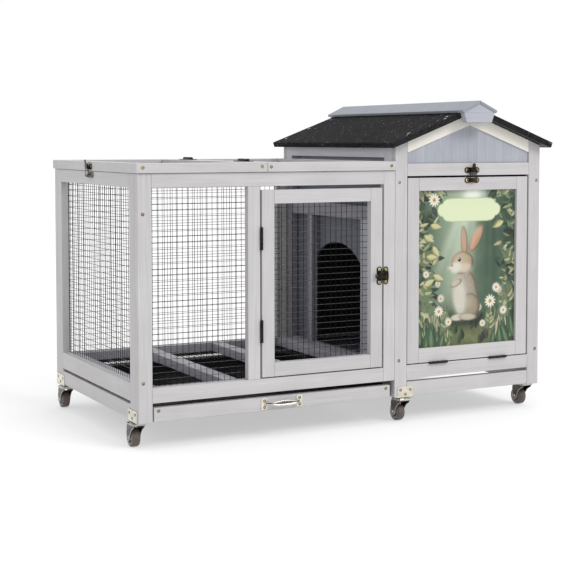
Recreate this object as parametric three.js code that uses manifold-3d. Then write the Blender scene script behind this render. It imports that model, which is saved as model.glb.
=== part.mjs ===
// Rabbit hutch on casters: a wire run with a lift-up lid, a door and a pull-out tray, joined to a
// gabled house with a drop-down front flap. Millimetres, +Z up. While it is being built, X runs
// from the left face, Y runs back from the front face and Z runs up from a level just above the
// ground. The last lines move the finished group so that its origin is the bottom centre of its box.
import * as THREE from 'three';
import { mergeVertices } from 'three/addons/utils/BufferGeometryUtils.js';
import Module from 'manifold-3d';

const wasm = await Module();
wasm.setup();

// ---- driving dimensions ----
const GAP = 0.3;                 // clearance between pieces that touch
const WIDTH = 956;               // over the two end posts
const DEPTH = 522;               // over the front and back frames
const BOARD = 16;                // thickness of every frame
const REBATE = 0.6;              // clearance of a lid or door leaf to what it lies on
const GROUND_Z = -5.5;           // what the wheels stand on
const LEG_Z = 48;                // underside of the legs
const RUN_RIGHT = 577.4;         // right end of the run frames
const HOUSE_LEFT = RUN_RIGHT + GAP;
const STILE = 30;                // width of a post or stile
const INNER_Y0 = BOARD + GAP;    // between the front and back frames
const INNER_Y1 = DEPTH - BOARD - GAP;

// run heights
const SKIRT_Z = [50, 80];
const LOW_RAIL_Z = [86, 115];
const SIDE_RAIL_TOP = 122;
const TOP_RAIL_Z = [504, 532];
const LID_Z = [532 + REBATE, 552];

// run front
const POST_RIGHT = 29;
const MID_STILE = [234, 261];
const RIGHT_STILE_LEFT = 550;
const DOOR_X = [265, 546.4];
const DOOR_Z = [117.5, 496.5];
const DOOR_MEMBER = 28;

// lid and fixed top
const LID_OVERHANG = 4;
const LID_LEFT = -3;
const LID_RIGHT = 276.1;
const TOP_LEFT = 276.7;
const LID_MEMBER = 28;

// welded wire: each panel is one thin sheet, because its squares are too small to matter
const WIRE = 1.6;
const WIRE_LAP = 8;
const TOP_WIRE_LAP = 1;          // between the lid's front and back members and the walls

// floor and tray
const FLOOR_Z = [95.5, 115];
const FLOOR_BEAM = 30;
const FLOOR_END = 14;
const PAN = { x: [36, 562], y: [INNER_Y0, 498], z: [58, 78], wall: 2 };
const TRAY_FRONT_X = [31.5, 566];
const TRAY_FRONT_Z = [49.5, 77];
const RUNNER = { width: 28, z: [50.3, 57.7] };
const HANDLE = { x: [262, 356], z: [51.5, 75.5], plate: 1.5, foot: 14, reach: 21, bar: 3.4 };
const HANDLE_ROOT = { inset: 11, lean: 4, rise: 11.55 };
const HANDLE_BEND = { inset: 20, belly: 1 };

// house front
const HOUSE_STILE_RIGHT = HOUSE_LEFT + STILE;
const HOUSE_POST_RIGHT_X = WIDTH - STILE;
const CROSS_RAIL_Z = [520, 547];
const HOUSE_LOW_RAIL_Z = [87, 116];
const FLAP_X = [HOUSE_STILE_RIGHT + 1.3, HOUSE_POST_RIGHT_X - 3.5];
const FLAP_Z = [118.2, 516];
const FLAP_SIDE = 29;
const FLAP_TOP = 28;
const FLAP_FOOT = 31;
const FLAP_PANEL_Y = [7, 13];

// roof
const RIDGE_X = (HOUSE_LEFT + WIDTH) / 2;
const ROOF_SLOPE = 0.376;
const RIDGE_UNDER_Z = 656.6;     // underside of the roof boards at the ridge
const ROOF_BOARD = 12;
const EAVE_HALF = 205;
const ROOF_Y = [-20, 541];
const GABLE_SLOPE = 0.374;
const GABLE_APEX_Z = 628.8;      // lower edge of the gable boards at the middle
const GABLE_PANEL_Y = [4, 10];
const CAP = { y: [-38, 560], top: 681.5, half: 45.5, drop: 21.5, board: 6.6, block: 15.4 };
const CAP_LIP = { x: 43, z: 654.4 };   // lower edge of each cap board, cut square to its face
const CAP_BLOCK = { shoulder: 41, shoulderZ: 657.8, foot: 32.6, footZ: 634.2 };

// house walls
const PANEL = 6;
const LEFT_WALL_Z = [51, 585];
const LEFT_WALL_REAR_STILE = 26;
const SIDE_WALL_TOP = 578.5;
const BACK_PANEL_FOOT_Z = 111;
const WALL_RAIL_TOP_Z = 559;
const WALL_MID_RAIL_Z = [421, 452];
const DOORWAY_Y = [172, 391];
const DOORWAY_Z = [120, 318];    // sill, and where the arched head springs
const DOORWAY_RISE = 44;
const DOOR_STILE_FRONT_Y = [117, 147];
const DOOR_STILE_REAR_Y = [376, 396];
const HOUSE_FLOOR_Z = [96, 105];

// hinges
const HINGE_LENGTH = 46;
const LEAF = 0.9;
const LID_LEAF = 1.2;
const LID_LEAF_REACH = 13;
const LEAF_Y = 13;               // how far a hinge leaf reaches back from the front face
const DOOR_PIN = { x: 263, y: -3.2, r: 2.9, z: [399, 211.5] };
const FLAP_PIN = { y: -3.2, z: 117.2, r: 2.9, x: [687, 843] };
const LID_PIN = { x: 276.4, z: 555.3, r: 2.9, y: [111, 408] };

// toggle latches
const LEVER_WIDTH = 9;
const DOOR_LEVER = { x: 541, z: 311.5 };
const FLAP_LEVER = { x: 772.5, z: 529 };
const LID_LEVER = { y: 273, z: 539 };

// casters: their heights are measured from the ground
const WHEEL_R = 19;
const WHEEL_WIDTH = 17;
const WHEEL_SIDE_GAP = 0.8;
const TREAD_ROUND = 2.5;
const TRAIL = 20;
const AXLE_R = 2.6;
const AXLE_PLAY = 0.4;
const CHEEK = 2;
const CHEEK_EYE_R = 7;
const FORK_TOP = LEG_Z - GAP - GROUND_Z;
const FORK_BRIDGE = { x: [-14, 26], z: [46.5, 49.5] };
const FORK_NOSE = { x: -5, z: 40.5 };
const FORK_FRONT_EDGE = { x: 11.5, z: 23 };
const FORK_REAR_EDGE = { x: 29, z: 38.5 };
const FORK_RACE_R = 13;
const SWIVEL_TURN = 90;
const CASTERS = [
  { name: 'front_left', x: 8, y: 31 },
  { name: 'rear_left', x: 8, y: 475 },
  { name: 'front_mid', x: 600, y: 5 },
  { name: 'rear_mid', x: 592, y: 500 },
  { name: 'front_right', x: 941, y: 31 },
  { name: 'rear_right', x: 941, y: 475 },
];

// ---- materials ----
const paint = new THREE.MeshStandardMaterial({ color: '#cfcecc', roughness: 0.55 });
const bluePaint = new THREE.MeshStandardMaterial({ color: '#a9aebb', roughness: 0.55 });
const felt = new THREE.MeshStandardMaterial({ color: '#2c2b2d', roughness: 0.95 });
const blackWire = new THREE.MeshStandardMaterial({ color: '#1d1d1f', roughness: 0.5, metalness: 0.4 });
const blackTray = new THREE.MeshStandardMaterial({ color: '#1b1b1d', roughness: 0.6 });
const zinc = new THREE.MeshStandardMaterial({ color: '#c9c6bd', roughness: 0.3, metalness: 0.9 });
const bronze = new THREE.MeshStandardMaterial({ color: '#3a3226', roughness: 0.4, metalness: 0.8 });
const rubber = new THREE.MeshStandardMaterial({ color: '#4a4240', roughness: 0.7 });
const picture = new THREE.MeshStandardMaterial({ color: '#7f9d84', roughness: 0.5 });

const hutch = new THREE.Group();

// ---- helpers ----
function addMesh(name, geometry, material, parent = hutch) {
  const mesh = new THREE.Mesh(geometry, material);
  mesh.name = name;
  parent.add(mesh);
  return mesh;
}

function box(x, y, z) {
  const geometry = new THREE.BoxGeometry(x[1] - x[0], y[1] - y[0], z[1] - z[0]);
  return geometry.translate((x[0] + x[1]) / 2, (y[0] + y[1]) / 2, (z[0] + z[1]) / 2);
}

function shapeOf(points) {
  return new THREE.Shape(points.map(([u, v]) => new THREE.Vector2(u, v)));
}

function rectangle(u, v) {
  return [[u[0], v[0]], [u[1], v[0]], [u[1], v[1]], [u[0], v[1]]];
}

function thick(outline, depth) {
  const shape = outline instanceof THREE.Shape ? outline : shapeOf(outline);
  return new THREE.ExtrudeGeometry(shape, { depth, bevelEnabled: false, curveSegments: 12 });
}

// A plate of the given outline and depth, with a hole cut right through for each hole outline.
function extrude(outline, holes, depth) {
  const plate = thick(outline, depth);
  if (holes.length === 0) return plate;
  const cutters = holes.map((hole) => solid(thick(hole, depth + 2).translate(0, 0, -1)));
  const cut = cutters.reduce((rest, cutter) => rest.subtract(cutter), solid(plate));
  return geometryOf(cut);
}

// An upright panel that faces the front: outline in (X, Z), filling y[0]..y[1].
function frontPanel(outline, holes, y) {
  const geometry = extrude(outline, holes, y[1] - y[0]);
  return geometry.rotateX(Math.PI / 2).translate(0, y[1], 0);
}

// An upright panel that faces the side: outline in (Y, Z), filling x[0]..x[1].
function sidePanel(outline, holes, x) {
  const turn = new THREE.Matrix4().makeBasis(
    new THREE.Vector3(0, 1, 0), new THREE.Vector3(0, 0, 1), new THREE.Vector3(1, 0, 0));
  return extrude(outline, holes, x[1] - x[0]).applyMatrix4(turn).translate(x[0], 0, 0);
}

// A level panel: outline in (X, Y), filling z[0]..z[1].
function levelPanel(outline, holes, z) {
  return extrude(outline, holes, z[1] - z[0]).translate(0, 0, z[0]);
}

function lapped(range) {
  return [range[0] - WIRE_LAP, range[1] + WIRE_LAP];
}

// A wall's wire starts just above the floor frame and laps over the top rail.
function aboveFloor(range) {
  return [FLOOR_Z[1] + GAP, range[1] + WIRE_LAP];
}

function solid(geometry) {
  const bare = geometry.index ? geometry.toNonIndexed() : geometry.clone();
  bare.deleteAttribute('normal');
  bare.deleteAttribute('uv');
  const merged = mergeVertices(bare, 1e-4);
  return new wasm.Manifold(new wasm.Mesh({
    numProp: 3,
    vertProperties: new Float32Array(merged.attributes.position.array),
    triVerts: new Uint32Array(merged.index.array),
  }));
}

function joined(geometries) {
  const whole = geometries.map(solid).reduce((sum, next) => sum.add(next));
  return geometryOf(whole);
}

function geometryOf(manifold) {
  const mesh = manifold.getMesh();
  const geometry = new THREE.BufferGeometry();
  geometry.setAttribute('position', new THREE.BufferAttribute(new Float32Array(mesh.vertProperties), 3));
  geometry.setIndex(new THREE.BufferAttribute(new Uint32Array(mesh.triVerts), 1));
  geometry.computeVertexNormals();
  return geometry;
}

function cylinderAlong(axis, radius, length, sides) {
  const geometry = new THREE.CylinderGeometry(radius, radius, length, sides);
  if (axis === 'x') geometry.rotateZ(Math.PI / 2);
  if (axis === 'z') geometry.rotateX(Math.PI / 2);
  return geometry;
}

const roofUnder = (x) => RIDGE_UNDER_Z - ROOF_SLOPE * Math.abs(x - RIDGE_X);
const gableUnder = (x) => GABLE_APEX_Z - GABLE_SLOPE * Math.abs(x - RIDGE_X);

// ---- wire run ----
const BAY_X = [POST_RIGHT, MID_STILE[0]];
const BAY_Z = [LOW_RAIL_Z[1], TOP_RAIL_Z[0]];

function addRunFront() {
  const outline = [
    [0, LEG_Z], [POST_RIGHT, LEG_Z], [POST_RIGHT, LOW_RAIL_Z[0]], [RUN_RIGHT, LOW_RAIL_Z[0]],
    [RUN_RIGHT, TOP_RAIL_Z[1]], [0, TOP_RAIL_Z[1]],
  ];
  const holes = [rectangle(BAY_X, BAY_Z), rectangle([MID_STILE[1], RIGHT_STILE_LEFT], BAY_Z)];
  addMesh('run_front_frame', frontPanel(outline, holes, [0, BOARD]), paint);
  const wireY = [BOARD + GAP, BOARD + GAP + WIRE];
  addMesh('run_front_mesh', box(lapped(BAY_X), wireY, aboveFloor(BAY_Z)), blackWire);
}

function addRunLeft() {
  const y = [INNER_Y0, INNER_Y1];
  const opening = [y[0] + STILE, y[1] - STILE];
  const outline = [
    [y[0], LEG_Z], [opening[0], LEG_Z], [opening[0], LOW_RAIL_Z[0]], [opening[1], LOW_RAIL_Z[0]],
    [opening[1], LEG_Z], [y[1], LEG_Z], [y[1], TOP_RAIL_Z[1]], [y[0], TOP_RAIL_Z[1]],
  ];
  const bayZ = [SIDE_RAIL_TOP, TOP_RAIL_Z[0]];
  addMesh('run_left_frame', sidePanel(outline, [rectangle(opening, bayZ)], [0, BOARD]), paint);
  const wireX = [BOARD + GAP, BOARD + GAP + WIRE];
  addMesh('run_left_mesh', box(wireX, lapped(opening), aboveFloor(bayZ)), blackWire);
  const skirtY = [opening[0] + GAP, opening[1] - GAP];
  addMesh('run_left_skirt', box([0, BOARD], skirtY, SKIRT_Z), paint);
}

function addRunBack() {
  const y = [DEPTH - BOARD, DEPTH];
  const opening = [POST_RIGHT, RIGHT_STILE_LEFT];
  const outline = [
    [0, LEG_Z], [opening[0], LEG_Z], [opening[0], LOW_RAIL_Z[0]], [opening[1], LOW_RAIL_Z[0]],
    [opening[1], LEG_Z], [RUN_RIGHT, LEG_Z], [RUN_RIGHT, TOP_RAIL_Z[1]], [0, TOP_RAIL_Z[1]],
  ];
  addMesh('run_back_frame', frontPanel(outline, [rectangle(opening, BAY_Z)], y), paint);
  const wireY = [y[0] - GAP - WIRE, y[0] - GAP];
  addMesh('run_back_mesh', box(lapped(opening), wireY, aboveFloor(BAY_Z)), blackWire);
  const skirtX = [opening[0] + GAP, opening[1] - GAP];
  addMesh('run_back_skirt', box(skirtX, y, SKIRT_Z), paint);
}

function addRunDoor() {
  const windowX = [DOOR_X[0] + DOOR_MEMBER, DOOR_X[1] - DOOR_MEMBER];
  const windowZ = [DOOR_Z[0] + DOOR_MEMBER, DOOR_Z[1] - DOOR_MEMBER];
  const leaf = frontPanel(rectangle(DOOR_X, DOOR_Z), [rectangle(windowX, windowZ)], [0, BOARD]);
  addMesh('run_door_frame', leaf, paint);
  const wireY = [BOARD + GAP, BOARD + GAP + WIRE];
  addMesh('run_door_mesh', box(lapped(windowX), wireY, lapped(windowZ)), blackWire);
}

function addTopPanel(name, x) {
  const y = [-LID_OVERHANG, DEPTH + LID_OVERHANG];
  const windowX = [x[0] + LID_MEMBER, x[1] - LID_MEMBER];
  const windowY = [y[0] + LID_MEMBER, y[1] - LID_MEMBER];
  const frame = levelPanel(rectangle(x, y), [rectangle(windowX, windowY)], LID_Z);
  addMesh(`${name}_frame`, frame, paint);
  const wireZ = [LID_Z[0] - GAP - WIRE, LID_Z[0] - GAP];
  const wireY = [windowY[0] - TOP_WIRE_LAP, windowY[1] + TOP_WIRE_LAP];
  addMesh(`${name}_mesh`, box(lapped(windowX), wireY, wireZ), blackWire);
}

// ---- floor and tray ----
function addFloor() {
  const x = [BOARD + GAP, RUN_RIGHT - GAP];
  const y = [INNER_Y0, INNER_Y1];
  const bay = (x[1] - x[0] - 4 * FLOOR_BEAM) / 3;
  const holes = [];
  for (let i = 0; i < 3; i += 1) {
    const left = x[0] + FLOOR_BEAM + i * (bay + FLOOR_BEAM);
    holes.push(rectangle([left, left + bay], [y[0] + FLOOR_END, y[1] - FLOOR_END]));
  }
  addMesh('run_floor_frame', levelPanel(rectangle(x, y), holes, FLOOR_Z), paint);
  const wireZ = [FLOOR_Z[0] - GAP - WIRE, FLOOR_Z[0] - GAP];
  addMesh('run_floor_wire', box(x, y, wireZ), blackWire);
}

function addTray() {
  const hollow = box(
    [PAN.x[0] + PAN.wall, PAN.x[1] - PAN.wall],
    [PAN.y[0] + PAN.wall, PAN.y[1] - PAN.wall],
    [PAN.z[0] + PAN.wall, PAN.z[1] + PAN.wall]);
  const pan = solid(box(PAN.x, PAN.y, PAN.z)).subtract(solid(hollow));
  addMesh('tray_pan', geometryOf(pan), blackTray);
  addMesh('tray_front', box(TRAY_FRONT_X, [0, BOARD], TRAY_FRONT_Z), paint);
  addMesh('tray_handle', trayHandle(), zinc);
  const y = [INNER_Y0 + STILE, INNER_Y1 - STILE];
  const left = BOARD + GAP;
  addMesh('tray_runner_left', box([left, left + RUNNER.width], y, RUNNER.z), paint);
  const right = HOUSE_LEFT - GAP;
  addMesh('tray_runner_right', box([right - RUNNER.width, right], y, RUNNER.z), paint);
}

function trayHandle() {
  const middle = (HANDLE.z[0] + HANDLE.z[1]) / 2;
  const face = -GAP;
  const plateY = [face - HANDLE.plate, face];
  const start = HANDLE.x[0] + HANDLE_ROOT.inset;
  const end = HANDLE.x[1] - HANDLE_ROOT.inset;
  const root = face - HANDLE.plate / 2;
  const crest = root - HANDLE.reach + HANDLE.bar;
  const points = [
    [start, root],
    [start + HANDLE_ROOT.lean, root - HANDLE_ROOT.rise],
    [start + HANDLE_BEND.inset, crest],
    [(start + end) / 2, crest - HANDLE_BEND.belly],
    [end - HANDLE_BEND.inset, crest],
    [end - HANDLE_ROOT.lean, root - HANDLE_ROOT.rise],
    [end, root],
  ];
  const path = new THREE.CatmullRomCurve3(points.map(([x, y]) => new THREE.Vector3(x, y, middle)));
  const section = new THREE.Shape();
  section.absellipse(0, 0, HANDLE.bar, HANDLE.bar, 0, 2 * Math.PI, false, 0);
  const options = { steps: 20, curveSegments: 4, extrudePath: path, bevelEnabled: false };
  const bar = new THREE.ExtrudeGeometry(section, options);
  return joined([
    box([HANDLE.x[0], HANDLE.x[0] + HANDLE.foot], plateY, HANDLE.z),
    box([HANDLE.x[1] - HANDLE.foot, HANDLE.x[1]], plateY, HANDLE.z),
    bar,
  ]);
}

// ---- house ----
const POST_HEAD = GAP + 0.1;     // clearance under the roof boards

function addHouseFront() {
  const inner = HOUSE_STILE_RIGHT;
  const outer = HOUSE_POST_RIGHT_X;
  const outline = [
    [HOUSE_LEFT, LEG_Z], [inner, LEG_Z], [inner, HOUSE_LOW_RAIL_Z[0]], [outer, HOUSE_LOW_RAIL_Z[0]],
    [outer, LEG_Z], [WIDTH, LEG_Z], [WIDTH, roofUnder(WIDTH) - POST_HEAD],
    [outer, roofUnder(outer) - POST_HEAD], [outer, CROSS_RAIL_Z[1]], [inner, CROSS_RAIL_Z[1]],
    [inner, roofUnder(inner) - POST_HEAD], [HOUSE_LEFT, roofUnder(HOUSE_LEFT) - POST_HEAD],
  ];
  const doorway = rectangle([inner, outer], [HOUSE_LOW_RAIL_Z[1], CROSS_RAIL_Z[0]]);
  addMesh('house_front_frame', frontPanel(outline, [doorway], [0, BOARD]), paint);
  addGableBoard('gable_board_left', inner + GAP, RIDGE_X - GAP / 2);
  addGableBoard('gable_board_right', outer - GAP, RIDGE_X + GAP / 2);
  const panel = [
    [inner + GAP, CROSS_RAIL_Z[1] + GAP], [outer - GAP, CROSS_RAIL_Z[1] + GAP],
    [outer - GAP, gableUnder(outer) - GAP], [RIDGE_X, GABLE_APEX_Z - GAP],
    [inner + GAP, gableUnder(inner) - GAP],
  ];
  addMesh('gable_panel_front', frontPanel(panel, [], GABLE_PANEL_Y), bluePaint);
  addMesh('house_front_skirt', box([inner + GAP, outer - GAP], [0, BOARD], SKIRT_Z), paint);
}

function addGableBoard(name, foot, head) {
  const outline = [
    [foot, gableUnder(foot)], [head, gableUnder(head)],
    [head, roofUnder(head) - POST_HEAD], [foot, roofUnder(foot) - POST_HEAD],
  ];
  const ordered = foot < head ? outline : outline.reverse();
  addMesh(name, frontPanel(ordered, [], [0, BOARD]), paint);
}

function addFlap() {
  const windowX = [FLAP_X[0] + FLAP_SIDE, FLAP_X[1] - FLAP_SIDE];
  const windowZ = [FLAP_Z[0] + FLAP_FOOT, FLAP_Z[1] - FLAP_TOP];
  const leaf = frontPanel(rectangle(FLAP_X, FLAP_Z), [rectangle(windowX, windowZ)], [0, BOARD]);
  addMesh('flap_frame', leaf, paint);
  const panelX = [windowX[0] + GAP, windowX[1] - GAP];
  const panelZ = [windowZ[0] + GAP, windowZ[1] - GAP];
  addMesh('flap_panel', box(panelX, FLAP_PANEL_Y, panelZ), picture);
}

// The partition between run and house: a frame, with a boarded panel behind it that has the
// arched doorway.
function addHouseLeft() {
  const y = [INNER_Y0, INNER_Y1];
  const stiles = [y[0] + STILE, y[1] - LEFT_WALL_REAR_STILE];
  const upper = rectangle(stiles, [WALL_MID_RAIL_Z[1], WALL_RAIL_TOP_Z]);
  const bayZ = [DOORWAY_Z[0], WALL_MID_RAIL_Z[0]];
  const frontBay = rectangle([stiles[0], DOOR_STILE_FRONT_Y[0]], bayZ);
  const doorBay = rectangle([DOOR_STILE_FRONT_Y[1], DOOR_STILE_REAR_Y[0]], bayZ);
  const rearBay = rectangle([DOOR_STILE_REAR_Y[1], stiles[1]], bayZ);
  const outline = rectangle(y, LEFT_WALL_Z);
  const x = [HOUSE_LEFT, HOUSE_LEFT + BOARD];
  const frame = sidePanel(outline, [upper, doorBay, rearBay, frontBay], x);
  addMesh('house_left_frame', frame, paint);
  const arch = new THREE.Shape();
  const middle = (DOORWAY_Y[0] + DOORWAY_Y[1]) / 2;
  const half = (DOORWAY_Y[1] - DOORWAY_Y[0]) / 2;
  const radius = (half * half + DOORWAY_RISE * DOORWAY_RISE) / (2 * DOORWAY_RISE);
  const spread = Math.asin(half / radius);
  const centreZ = DOORWAY_Z[1] + DOORWAY_RISE - radius;
  arch.moveTo(DOORWAY_Y[0], DOORWAY_Z[0]);
  arch.lineTo(DOORWAY_Y[1], DOORWAY_Z[0]);
  arch.absarc(middle, centreZ, radius, Math.PI / 2 - spread, Math.PI / 2 + spread, false);
  arch.closePath();
  const panelX = [x[1] + GAP, x[1] + GAP + PANEL];
  const panel = sidePanel(rectangle(y, [LOW_RAIL_Z[0], LEFT_WALL_Z[1]]), [arch], panelX);
  addMesh('house_left_panel', panel, bluePaint);
}

function addHouseRight() {
  const y = [INNER_Y0, INNER_Y1];
  const stiles = [y[0] + STILE, y[1] - STILE];
  const slot = rectangle(stiles, [SKIRT_Z[1], LOW_RAIL_Z[0]]);
  const bay = rectangle(stiles, [SIDE_RAIL_TOP, SIDE_WALL_TOP - STILE]);
  const frame = sidePanel(rectangle(y, [LEG_Z, SIDE_WALL_TOP]), [slot, bay], [WIDTH - BOARD, WIDTH]);
  addMesh('house_right_frame', frame, paint);
  const inside = WIDTH - BOARD - GAP;
  const panel = sidePanel(rectangle(y, [LOW_RAIL_Z[1], SIDE_WALL_TOP]), [], [inside - PANEL, inside]);
  addMesh('house_right_panel', panel, bluePaint);
}

function addHouseBack() {
  const y = [DEPTH - BOARD, DEPTH];
  const inner = HOUSE_STILE_RIGHT;
  const outer = HOUSE_POST_RIGHT_X;
  const outline = [
    [HOUSE_LEFT, LEG_Z], [WIDTH, LEG_Z], [WIDTH, roofUnder(WIDTH) - POST_HEAD],
    [RIDGE_X, roofUnder(RIDGE_X) - POST_HEAD], [HOUSE_LEFT, roofUnder(HOUSE_LEFT) - POST_HEAD],
  ];
  const slot = rectangle([inner, outer], [SKIRT_Z[1], LOW_RAIL_Z[0]]);
  const bay = rectangle([inner, outer], [LOW_RAIL_Z[1], CROSS_RAIL_Z[0]]);
  const gable = [
    [inner, CROSS_RAIL_Z[1]], [outer, CROSS_RAIL_Z[1]], [outer, gableUnder(outer)],
    [RIDGE_X, GABLE_APEX_Z], [inner, gableUnder(inner)],
  ];
  addMesh('house_back_frame', frontPanel(outline, [slot, bay, gable], y), paint);
  const left = HOUSE_LEFT + BOARD + PANEL + 2 * GAP;
  const right = WIDTH - BOARD - PANEL - 2 * GAP;
  const sheet = [
    [left, BACK_PANEL_FOOT_Z], [right, BACK_PANEL_FOOT_Z], [right, gableUnder(right) + WIRE_LAP],
    [RIDGE_X, GABLE_APEX_Z + WIRE_LAP], [left, gableUnder(left) + WIRE_LAP],
  ];
  addMesh('house_back_panel', frontPanel(sheet, [], [y[0] - GAP - PANEL, y[0] - GAP]), bluePaint);
}

function addHouseFloor() {
  const x = [HOUSE_LEFT + BOARD + PANEL + 2 * GAP, WIDTH - BOARD - GAP];
  addMesh('house_floor', box(x, [INNER_Y0, INNER_Y1], HOUSE_FLOOR_Z), bluePaint);
}

// ---- roof ----
function addRoofBoard(name, side) {
  const tilt = Math.atan(ROOF_SLOPE);
  const eave = RIDGE_X + side * EAVE_HALF;
  const ridge = RIDGE_X + side * GAP / 2;
  const lift = ROOF_BOARD / Math.cos(tilt);
  const outline = [
    [eave, roofUnder(eave)], [ridge, roofUnder(ridge)], [ridge, roofUnder(ridge) + lift],
    [eave + side * ROOF_BOARD * Math.sin(tilt), roofUnder(eave) + ROOF_BOARD * Math.cos(tilt)],
  ];
  const ordered = side < 0 ? outline : outline.reverse();
  addMesh(name, frontPanel(ordered, [], ROOF_Y), felt);
}

function addRidgeCap() {
  const edge = CAP.top - CAP.drop;
  const boards = frontPanel([
    [RIDGE_X - CAP.half, edge], [RIDGE_X - CAP_LIP.x, CAP_LIP.z],
    [RIDGE_X, CAP.top - CAP.board], [RIDGE_X + CAP_LIP.x, CAP_LIP.z],
    [RIDGE_X + CAP.half, edge], [RIDGE_X, CAP.top],
  ], [], CAP.y);
  const block = [
    [RIDGE_X - CAP_BLOCK.foot, CAP_BLOCK.footZ], [RIDGE_X + CAP_BLOCK.foot, CAP_BLOCK.footZ],
    [RIDGE_X + CAP_BLOCK.shoulder, CAP_BLOCK.shoulderZ], [RIDGE_X, CAP.top - CAP.board / 2],
    [RIDGE_X - CAP_BLOCK.shoulder, CAP_BLOCK.shoulderZ],
  ];
  const front = frontPanel(block, [], [ROOF_Y[0] - GAP - CAP.block, ROOF_Y[0] - GAP]);
  const back = frontPanel(block, [], [ROOF_Y[1] + GAP, ROOF_Y[1] + GAP + CAP.block]);
  addMesh('ridge_cap', joined([boards, front, back]), bluePaint);
}

// ---- hinges: each node is the knuckle with its fixed leaf ----
function addHinges() {
  const half = HINGE_LENGTH / 2;
  DOOR_PIN.z.forEach((z, i) => {
    const knuckle = cylinderAlong('z', DOOR_PIN.r, HINGE_LENGTH, 10).translate(DOOR_PIN.x, DOOR_PIN.y, z);
    const leafX = [MID_STILE[1] + GAP, MID_STILE[1] + GAP + LEAF];
    const leaf = box(leafX, [DOOR_PIN.y, LEAF_Y], [z - half, z + half]);
    addMesh(['door_hinge_upper', 'door_hinge_lower'][i], joined([knuckle, leaf]), bronze);
  });
  FLAP_PIN.x.forEach((x, i) => {
    const knuckle = cylinderAlong('x', FLAP_PIN.r, HINGE_LENGTH, 10).translate(x, FLAP_PIN.y, FLAP_PIN.z);
    const leafZ = [HOUSE_LOW_RAIL_Z[1] + GAP, HOUSE_LOW_RAIL_Z[1] + GAP + LEAF];
    const leaf = box([x - half, x + half], [FLAP_PIN.y, LEAF_Y], leafZ);
    addMesh(['flap_hinge_left', 'flap_hinge_right'][i], joined([knuckle, leaf]), bronze);
  });
  LID_PIN.y.forEach((y, i) => {
    const knuckle = cylinderAlong('y', LID_PIN.r, HINGE_LENGTH, 10).translate(LID_PIN.x, y, LID_PIN.z);
    const leafZ = [LID_Z[1] + GAP, LID_Z[1] + GAP + LID_LEAF];
    const leaf = box([LID_PIN.x, LID_PIN.x + LID_LEAF_REACH], [y - half, y + half], leafZ);
    addMesh(['lid_hinge_front', 'lid_hinge_rear'][i], joined([knuckle, leaf]), bronze);
  });
}

// ---- toggle latch levers ----
// Side view of a lever: x runs from its pivot to its finger tip, y stands out from the face.
const LEVER_OUTLINE = [
  [-2.6, 1.6], [2.6, 1.6], [5, 4.2], [12, 6.2], [18.4, 9.6], [17, 11],
  [11, 8.6], [4, 7.4], [-1.5, 7.2], [-3.8, 4.6],
];

function addLever(name, pivot, along, outward) {
  const across = new THREE.Vector3().crossVectors(along, outward);
  const geometry = extrude(LEVER_OUTLINE, [], LEVER_WIDTH).translate(0, 0, -LEVER_WIDTH / 2);
  const mesh = addMesh(name, geometry, bronze);
  mesh.quaternion.setFromRotationMatrix(new THREE.Matrix4().makeBasis(along, outward, across));
  mesh.position.copy(pivot);
}

function addLatches() {
  const right = new THREE.Vector3(1, 0, 0);
  const back = new THREE.Vector3(0, 1, 0);
  const up = new THREE.Vector3(0, 0, 1);
  const front = back.clone().negate();
  const left = right.clone().negate();
  addLever('door_latch_lever', new THREE.Vector3(DOOR_LEVER.x, 0, DOOR_LEVER.z), left, front);
  addLever('flap_latch_lever', new THREE.Vector3(FLAP_LEVER.x, 0, FLAP_LEVER.z), up, front);
  addLever('lid_latch_lever', new THREE.Vector3(LID_LEFT, LID_LEVER.y, LID_LEVER.z), up, left);
}

// ---- casters ----
// Seen from the side, with the swivel axis at x = 0 and the wheel trailing towards +x.
function cheekGeometry(y) {
  const [front, rear] = FORK_BRIDGE.x;
  const [under, top] = FORK_BRIDGE.z;
  const cheek = new THREE.Shape();
  cheek.moveTo(front, top);
  cheek.lineTo(front, under);
  cheek.lineTo(FORK_NOSE.x, FORK_NOSE.z);
  cheek.lineTo(FORK_FRONT_EDGE.x, FORK_FRONT_EDGE.z);
  cheek.absarc(TRAIL, WHEEL_R, CHEEK_EYE_R, Math.PI * 1.12, Math.PI * 2.1, false);
  cheek.lineTo(FORK_REAR_EDGE.x, FORK_REAR_EDGE.z);
  cheek.lineTo(rear, top);
  return frontPanel(cheek, [], [y, y + CHEEK]);
}

function forkGeometry() {
  const inside = WHEEL_WIDTH / 2 + WHEEL_SIDE_GAP;
  const outside = inside + CHEEK;
  const bridge = box(FORK_BRIDGE.x, [-outside, outside], FORK_BRIDGE.z);
  const raceHeight = FORK_TOP - FORK_BRIDGE.z[0];
  const race = cylinderAlong('z', FORK_RACE_R, raceHeight, 16).translate(0, 0, FORK_TOP - raceHeight / 2);
  const axle = cylinderAlong('y', AXLE_R, 2 * outside - 1, 12).translate(TRAIL, 0, WHEEL_R);
  return joined([cheekGeometry(-outside), cheekGeometry(inside), bridge, race, axle]);
}

function wheelGeometry() {
  const half = WHEEL_WIDTH / 2;
  const bore = AXLE_R + AXLE_PLAY;
  const side = WHEEL_R - TREAD_ROUND;
  const tread = half - TREAD_ROUND;
  const profile = [
    [bore, -half], [side, -half], [WHEEL_R, -tread], [WHEEL_R, tread],
    [side, half], [bore, half], [bore, -half],
  ];
  return new THREE.LatheGeometry(profile.map(([r, h]) => new THREE.Vector2(r, h)), 20);
}

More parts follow.
